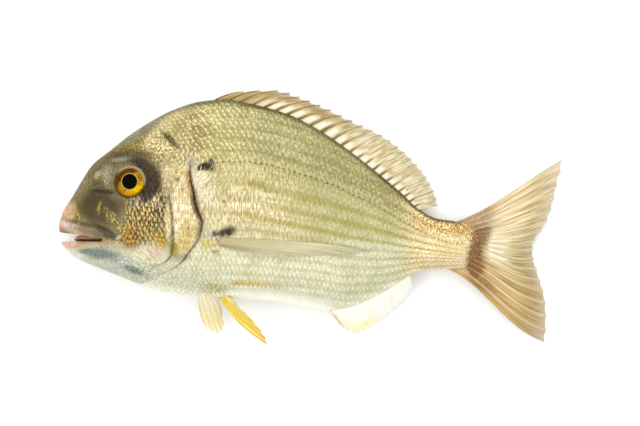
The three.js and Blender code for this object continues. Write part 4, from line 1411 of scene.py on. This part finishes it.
def make_web(name, fin):
    """A fin's membrane, sagging between its rays, and where its corners lie on the fan and the fish."""
    let_go()
    gaps = fin["rays"] - 1
    columns, rows = gaps * COLUMNS_PER_RAY, fin.get("rows", 28)
    bpy.ops.mesh.primitive_grid_add(x_subdivisions=columns, y_subdivisions=rows, size=2)
    web = named(name)
    spots = corners(web)
    u, v = (spots[:, 0] + 1) / 2, (spots[:, 1] + 1) / 2
    s, h = fan_point(fin, u, v).T
    sag = fin.get("sag", 0.25) * between_rays(fin, u) * v
    put_corners(web, world(s, h, fin["z"](s, h, u, v) - sag))
    flat = corners(web)
    fan = u * gaps, v
    keep_uv(web, "fan", *fan)
    keep(web, "stain", fin["stain"](s, h))
    thick = web.modifiers.new("thickness", "SOLIDIFY")
    thick.thickness = WEB_THICKNESS * MM
    thick.offset = 0
    bpy.ops.object.modifier_apply(modifier=thick.name)
    return web, flat, fan, (s, h)


def make_rays(name, fin):
    """One tapering rod for each ray, splitting towards the edge where the fin's rays are soft."""
    let_go()
    bpy.ops.curve.primitive_nurbs_path_add()
    rods = named(name)
    rods.data.splines.clear()
    rods.data.bevel_depth = 1.0
    rods.data.bevel_resolution = 1
    rods.data.use_fill_caps = True
    gaps = fin["rays"] - 1
    for i in range(fin["rays"]):
        soft = i >= fin.get("spines", 0)
        for lean, start, end in BRANCHED_RAY if soft and fin.get("branch", True) else WHOLE_RAY:
            if not 0 <= i + lean <= gaps:
                continue
            v = np.linspace(start, end, RAY_STEPS)
            opened = ramp(v, start, 1.0) if start else 0 * v
            u = np.clip(i * (1 / gaps) + lean * (1 / gaps) * opened * 1.4, 0, 1)
            s, h = fan_point(fin, u, v).T
            places = world(s, h, fin["z"](s, h, u, v))
            girth = fin["girth"] * (1 - 0.75 * v) * (1.0 if soft else SPINE_GIRTH)
            spline = rods.data.splines.new("POLY")
            spline.points.add(RAY_STEPS - 1)
            for point, place, radius in zip(spline.points, places, girth):
                point.co = (*place, 1)
                point.radius = max(radius, FINEST_RAY) * MM
    bpy.ops.object.convert(target="MESH")
    return bpy.context.object


def make_fin(name, fin, material):
    """A web of membrane with a bony ray at each fold."""
    fin = {"stain": lambda s, h: 0 * s, **fin}
    web, flat, fan, (s, h) = make_web(name, fin)
    rods = make_rays(name + "_rays", fin)
    near = nearest_of(corners(rods), flat)
    keep_uv(rods, "fan", fan[0][near], fan[1][near])
    keep(rods, "stain", fin["stain"](s[near], h[near]))
    for piece in (web, rods):
        piece.data.materials.append(material)
    web.select_set(True)
    bpy.context.view_layer.objects.active = web
    bpy.ops.object.join()
    close_up(web, 0.001)
    spots = corners(web)
    spots[:, 2] = np.maximum(spots[:, 2], 0)
    put_corners(web, spots)
    finish_piece(web, "fish")


def dorsal_root(u):
    """Where the rays stand on the back: the spines evenly, and the soft rays closer and closer."""
    i = u * (DORSAL_RAYS - 1)
    soft = np.maximum(0, i - (DORSAL_SPINES - 1))
    s = 90.5 - 3.5 * np.maximum(0, 1 - i) + 7 * (i - soft) + 5.3 * soft - 0.105 * soft * soft
    return np.stack([s, back_line(s) - 3], -1)


def anal_root(u):
    s = mix(160.5, 207, u)
    return np.stack([s, belly_line(s) + 2], -1)


def tail_stain(s, h):
    """How dark the tail's root is: a band across its middle, and fainter at the roots of its lobes."""
    across = ramp(s - band_start(h), -2.5, 0.5) * (1 - ramp(s - band_end(h), -4, 5))
    middle = across * ramp(h, -45, -32) * (1 - ramp(h, -11, 5))
    upper = 0.55 * ramp(h, -13, -4) * (1 - ramp(s, 252, 267))
    lower = 0.55 * ramp(h, -52, -40) * (1 - ramp(h, -36, -28)) * band(s + 0.8 * (h + 36), 244, 252, 5)
    return np.maximum(middle, np.maximum(upper, lower))


# Each fin: its rays, where they start and end, how they bow near the root and near the edge, how deep the
# web is notched between them, and its height. The rays' girth and the web's sag are in mm.
FINS = {
    "dorsal_fin": {
        "rays": DORSAL_RAYS, "spines": DORSAL_SPINES, "root": dorsal_root,
        "tip": path(
            (109.5, 74.2), (130.5, 74.9), (143.8, 70.8), (156.5, 65.6), (169.7, 59.2), (182.7, 53),
            (194.2, 46.9), (203.4, 39.8), (211.4, 32.2), (217.4, 24.6), (222, 16.2), (224.9, 6.8),
        ),
        "bend": lambda u: (mix(1, 0.2, u), mix(1.2, 0.3, u)),
        "notch": lambda u: np.where(u * (DORSAL_RAYS - 1) < DORSAL_SPINES - 0.5, 0.09, 0.05),
        "z": lambda s, h, u, v: middle_z(s) + 1.2 * v * np.sin(9 * u),
        "girth": 0.32,
    },
    "anal_fin": {
        "rays": ANAL_RAYS, "spines": ANAL_SPINES, "root": anal_root,
        "tip": path(
            (169.2, -66), (175.5, -69.6), (182, -67.2), (189, -62.8), (196, -57.4), (203, -51),
            (209, -43.5),
        ),
        "bend": lambda u: (mix(-1, 0.5, u), mix(-0.6, 0.5, u)),
        "notch": lambda u: np.where(u * (ANAL_RAYS - 1) < ANAL_SPINES - 0.5, 0.16, 0.05),
        "z": lambda s, h, u, v: middle_z(s) - 1.5 * v + 0.6 * v * np.sin(7 * u),
        "girth": 0.22, "sag": 0.06,
    },
    "tail_fin": {
        "rays": 17,
        "root": path((229, -5), (238, -8), (242, -12), (243.5, -16), (242, -21), (238, -26), (229, -30)),
        "tip": path(
            (300, 34.9), (296.2, 20), (293, 7), (288.8, -4.5), (282.2, -14.5), (281.8, -24), (285.2, -35.5),
            (288.4, -47), (289.6, -61), (288.8, -74.8),
        ),
        "bend": lambda u: (mix(-3.2, 3, u), mix(0.2, -3.6, u)),
        "notch": lambda u: 0.02 + 0 * u, "stain": tail_stain,
        "z": lambda s, h, u, v: middle_z(s) + 1.4 * v * np.sin(6.5 * u + 0.6),
        "girth": 0.26, "rows": 44, "sag": 0.1,
    },
    "pelvic_fin_left": {
        "rays": 6, "spines": 1, "root": path((95.2, -45.6), (98.2, -45.7)),
        "tip": path((124, -75.6), (122.4, -70.8), (118, -64.8), (111.8, -58), (106, -52.8)),
        "bend": lambda u: (mix(-2.1, 0.6, u), mix(-1.6, 0.3, u)),
        "notch": lambda u: 0.05 + 0 * u,
        "z": lambda s, h, u, v: middle_z(s) + 2.5 + 2.5 * v + 1.2 * u,
        "girth": 0.5,
    },
    "pelvic_fin_right": {
        "rays": 6, "spines": 1, "root": path((82.6, -43.5), (91, -44)),
        "tip": path((88, -66.8), (92, -68.6), (95.6, -69), (97.6, -65.5), (96.6, -59.5)),
        "bend": lambda u: (mix(-1.1, 1.2, u), mix(-1.3, 0.8, u)),
        "notch": lambda u: 0.05 + 0 * u,
        "z": lambda s, h, u, v: middle_z(s) - 2.5 - 6 * v + 1.2 * u,
        "girth": 0.5,
    },
}


def pectoral(side):
    """The pectoral fin, laid back along the skin of one side."""
    return {
        "rays": 13, "root": path((96.5, -12.2), (96, -16), (98.5, -20.6)),
        "tip": path((185, -20), (171, -22), (150, -23.2), (129, -26), (106, -26.6)),
        "bend": lambda u: (mix(0.6, -1.2, u), mix(1.6, -0.8, u)),
        "notch": lambda u: 0.01 + 0 * u,
        "z": lambda s, h, u, v: np.maximum(0.2, skin_z(s, h, side) + side * mix(0.55, 0.35, v)),
        "girth": 0.14, "rows": 60, "sag": 0.05 * side, "branch": False,
    }


# ---- Making it ---------------------------------------------------------------------------------
SKIN = skin_material("fish_skin")
EYES = eye_material("golden_eye")
MOUTH_SKIN = mouth_lining("mouth_skin")
FIN_WEBS = {
    # The dorsal fin's dark root band is painted shadow where the fin meets the back.
    "dorsal_fin": fin_material(
        "dorsal_web", thin(200, 180, 130), thin(246, 234, 198), thin(122, 96, 48), shows(114, 100, 52),
        panel_u=(2, 4.5, 90, 91), panel_v=(0.0, 0.06, 0.2, 0.36), long_to=(9, 12),
        panel_tone=(258, 250, 228), edge=(0.5, 0.9, (0.84, 0.82, 0.7)),
        tints=((12, 8, (0.74, 0.64, 0.44)), (4, 0.5, (0.84, 0.84, 0.78))),
        see_through=0.12, ray_fade=0.5, ray_strength=0.85, ray_soft=(10, 13), fray=0.4, fine=5,
    ),
    "anal_fin": fin_material(
        "anal_web", thin(256, 255, 242), thin(260, 260, 254), thin(252, 248, 222), thin(240, 232, 206),
        panel_tone=(256, 254, 240), see_through=0.4, ray_strength=0.5,
        tints=((1.1, 0.3, (0.8, 0.54, 0.26)),), edge=(0.5, 0.85, (0.98, 0.9, 0.4)), edge_span=(5, 8),
    ),
    "tail_fin": fin_material(
        "tail_web", thin(190, 164, 116), thin(240, 223, 184), thin(250, 238, 204), thin(116, 78, 30),
        stained=True, panel_u=(4, 7, 9.5, 12), panel_v=(0.26, 0.34, 0.5, 0.7),
        tints=(
            (5, 9, (0.9, 0.88, 0.79)), (9, 13, (0.94, 0.84, 0.68)), (8, 3, (1.18, 1.17, 1.22)),
            (13.5, 16, (0.9, 0.85, 0.74)),
        ),
        sides=(16, 1.8, (0.97, 0.9, 0.84)), edge=(0.45, 0.85, (0.84, 0.84, 0.72)),
        see_through=0.1, fray=0.45, ray_strength=0.5, ray_width=0.15, fine=7,
    ),
    "pelvic_fin_left": fin_material(
        "near_pelvic_web", thin(236, 200, 58), thin(252, 234, 130), thin(214, 178, 26), thin(244, 224, 168),
        panel_u=(2.6, 4.5, 90, 91), panel_v=(-1, 0, 2, 3), see_through=0.1, fray=0.1,
    ),
    "pelvic_fin_right": fin_material(
        "far_pelvic_web",
        thin(250, 238, 184), thin(255, 253, 238), thin(250, 232, 156), thin(250, 232, 196),
        panel_v=(-1, 0, 2, 3), edge=(0.3, 0.7, (1.0, 0.92, 0.5)),
        see_through=0.42, fray=0.35, ray_strength=0.4,
    ),
    "pectoral_fin": fin_material(
        "pectoral_web", thin(218, 210, 168), thin(238, 232, 196), thin(214, 204, 160), thin(184, 174, 126),
        root_end=0.42, root_soft=0.7, panel_v=(-2, -1, -1, -0.5), sides=(12, 0.7, (0.93, 0.88, 0.8)),
        see_through=0.25, fray=0.4, fine=3, ray_strength=0.35, faint_from=(4, 9.5),
    ),
}

for make_skin in (make_trunk, make_head):
    skin = make_skin()
    skin.data.materials.append(SKIN)
    finish_piece(skin, "fish")
for name, side in (("eye_left", LEFT), ("eye_right", RIGHT)):
    eye = make_eye(name.replace("eye", "eyeball"), side)
    eye.data.materials.append(EYES)
    finish_piece(eye, name)
for name, fin in FINS.items():
    make_fin(name, fin, FIN_WEBS[name])
for name, side in (("pectoral_fin_left", LEFT), ("pectoral_fin_right", RIGHT)):
    make_fin(name, pectoral(side), FIN_WEBS["pectoral_fin"])
tongue = make_tongue()
tongue.data.materials.append(MOUTH_SKIN)
finish_piece(tongue, "fish")

# ---- Floor, light and camera -------------------------------------------------------------------
scene = bpy.context.scene
scene.view_settings.view_transform = "Standard"
scene.view_settings.look = "None"

let_go()
bpy.ops.mesh.primitive_plane_add(size=6)
floor = named("floor")
floor_sheet = Sheet("white_table", Base_Color=(0.93, 0.93, 0.93, 1), Roughness=0.9)
floor.data.materials.append(floor_sheet.material)

scene.world = bpy.data.worlds.new("studio")
scene.world.use_nodes = True
background = scene.world.node_tree.nodes["Background"]
background.inputs["Color"].default_value = (1, 1, 1, 1)
background.inputs["Strength"].default_value = 1.2


def soft_light(name, place, size, power):
    """A round lamp that points at the fish."""
    let_go()
    bpy.ops.object.light_add(type="AREA", location=place)
    lamp = bpy.context.object
    lamp.name = name
    lamp.data.shape = "DISK"
    lamp.data.size = size
    lamp.data.energy = power
    lamp.rotation_euler = (-Vector(place)).to_track_quat("-Z", "Y").to_euler()


soft_light("key", (0.15, 0.95, 0.85), 0.8, 7)
soft_light("fill", (-0.8, -0.4, 1.0), 1.0, 5)

LENS = 300.0
SENSOR_WIDTH = 36
VIEW_WIDTH = 0.3795  # what the camera's frame spans at VIEW_Z, near the height of the fish's middle
VIEW_X, VIEW_Y, VIEW_Z = 0.00474, 0.00237, 0.014
camera_data = bpy.data.cameras.new("camera")
camera_data.lens = LENS
camera_data.sensor_width = SENSOR_WIDTH
camera_data.clip_end = 20
camera = bpy.data.objects.new("camera", camera_data)
camera.location = (VIEW_X, VIEW_Y, VIEW_Z + VIEW_WIDTH * LENS / SENSOR_WIDTH)
scene.collection.objects.link(camera)
scene.camera = camera
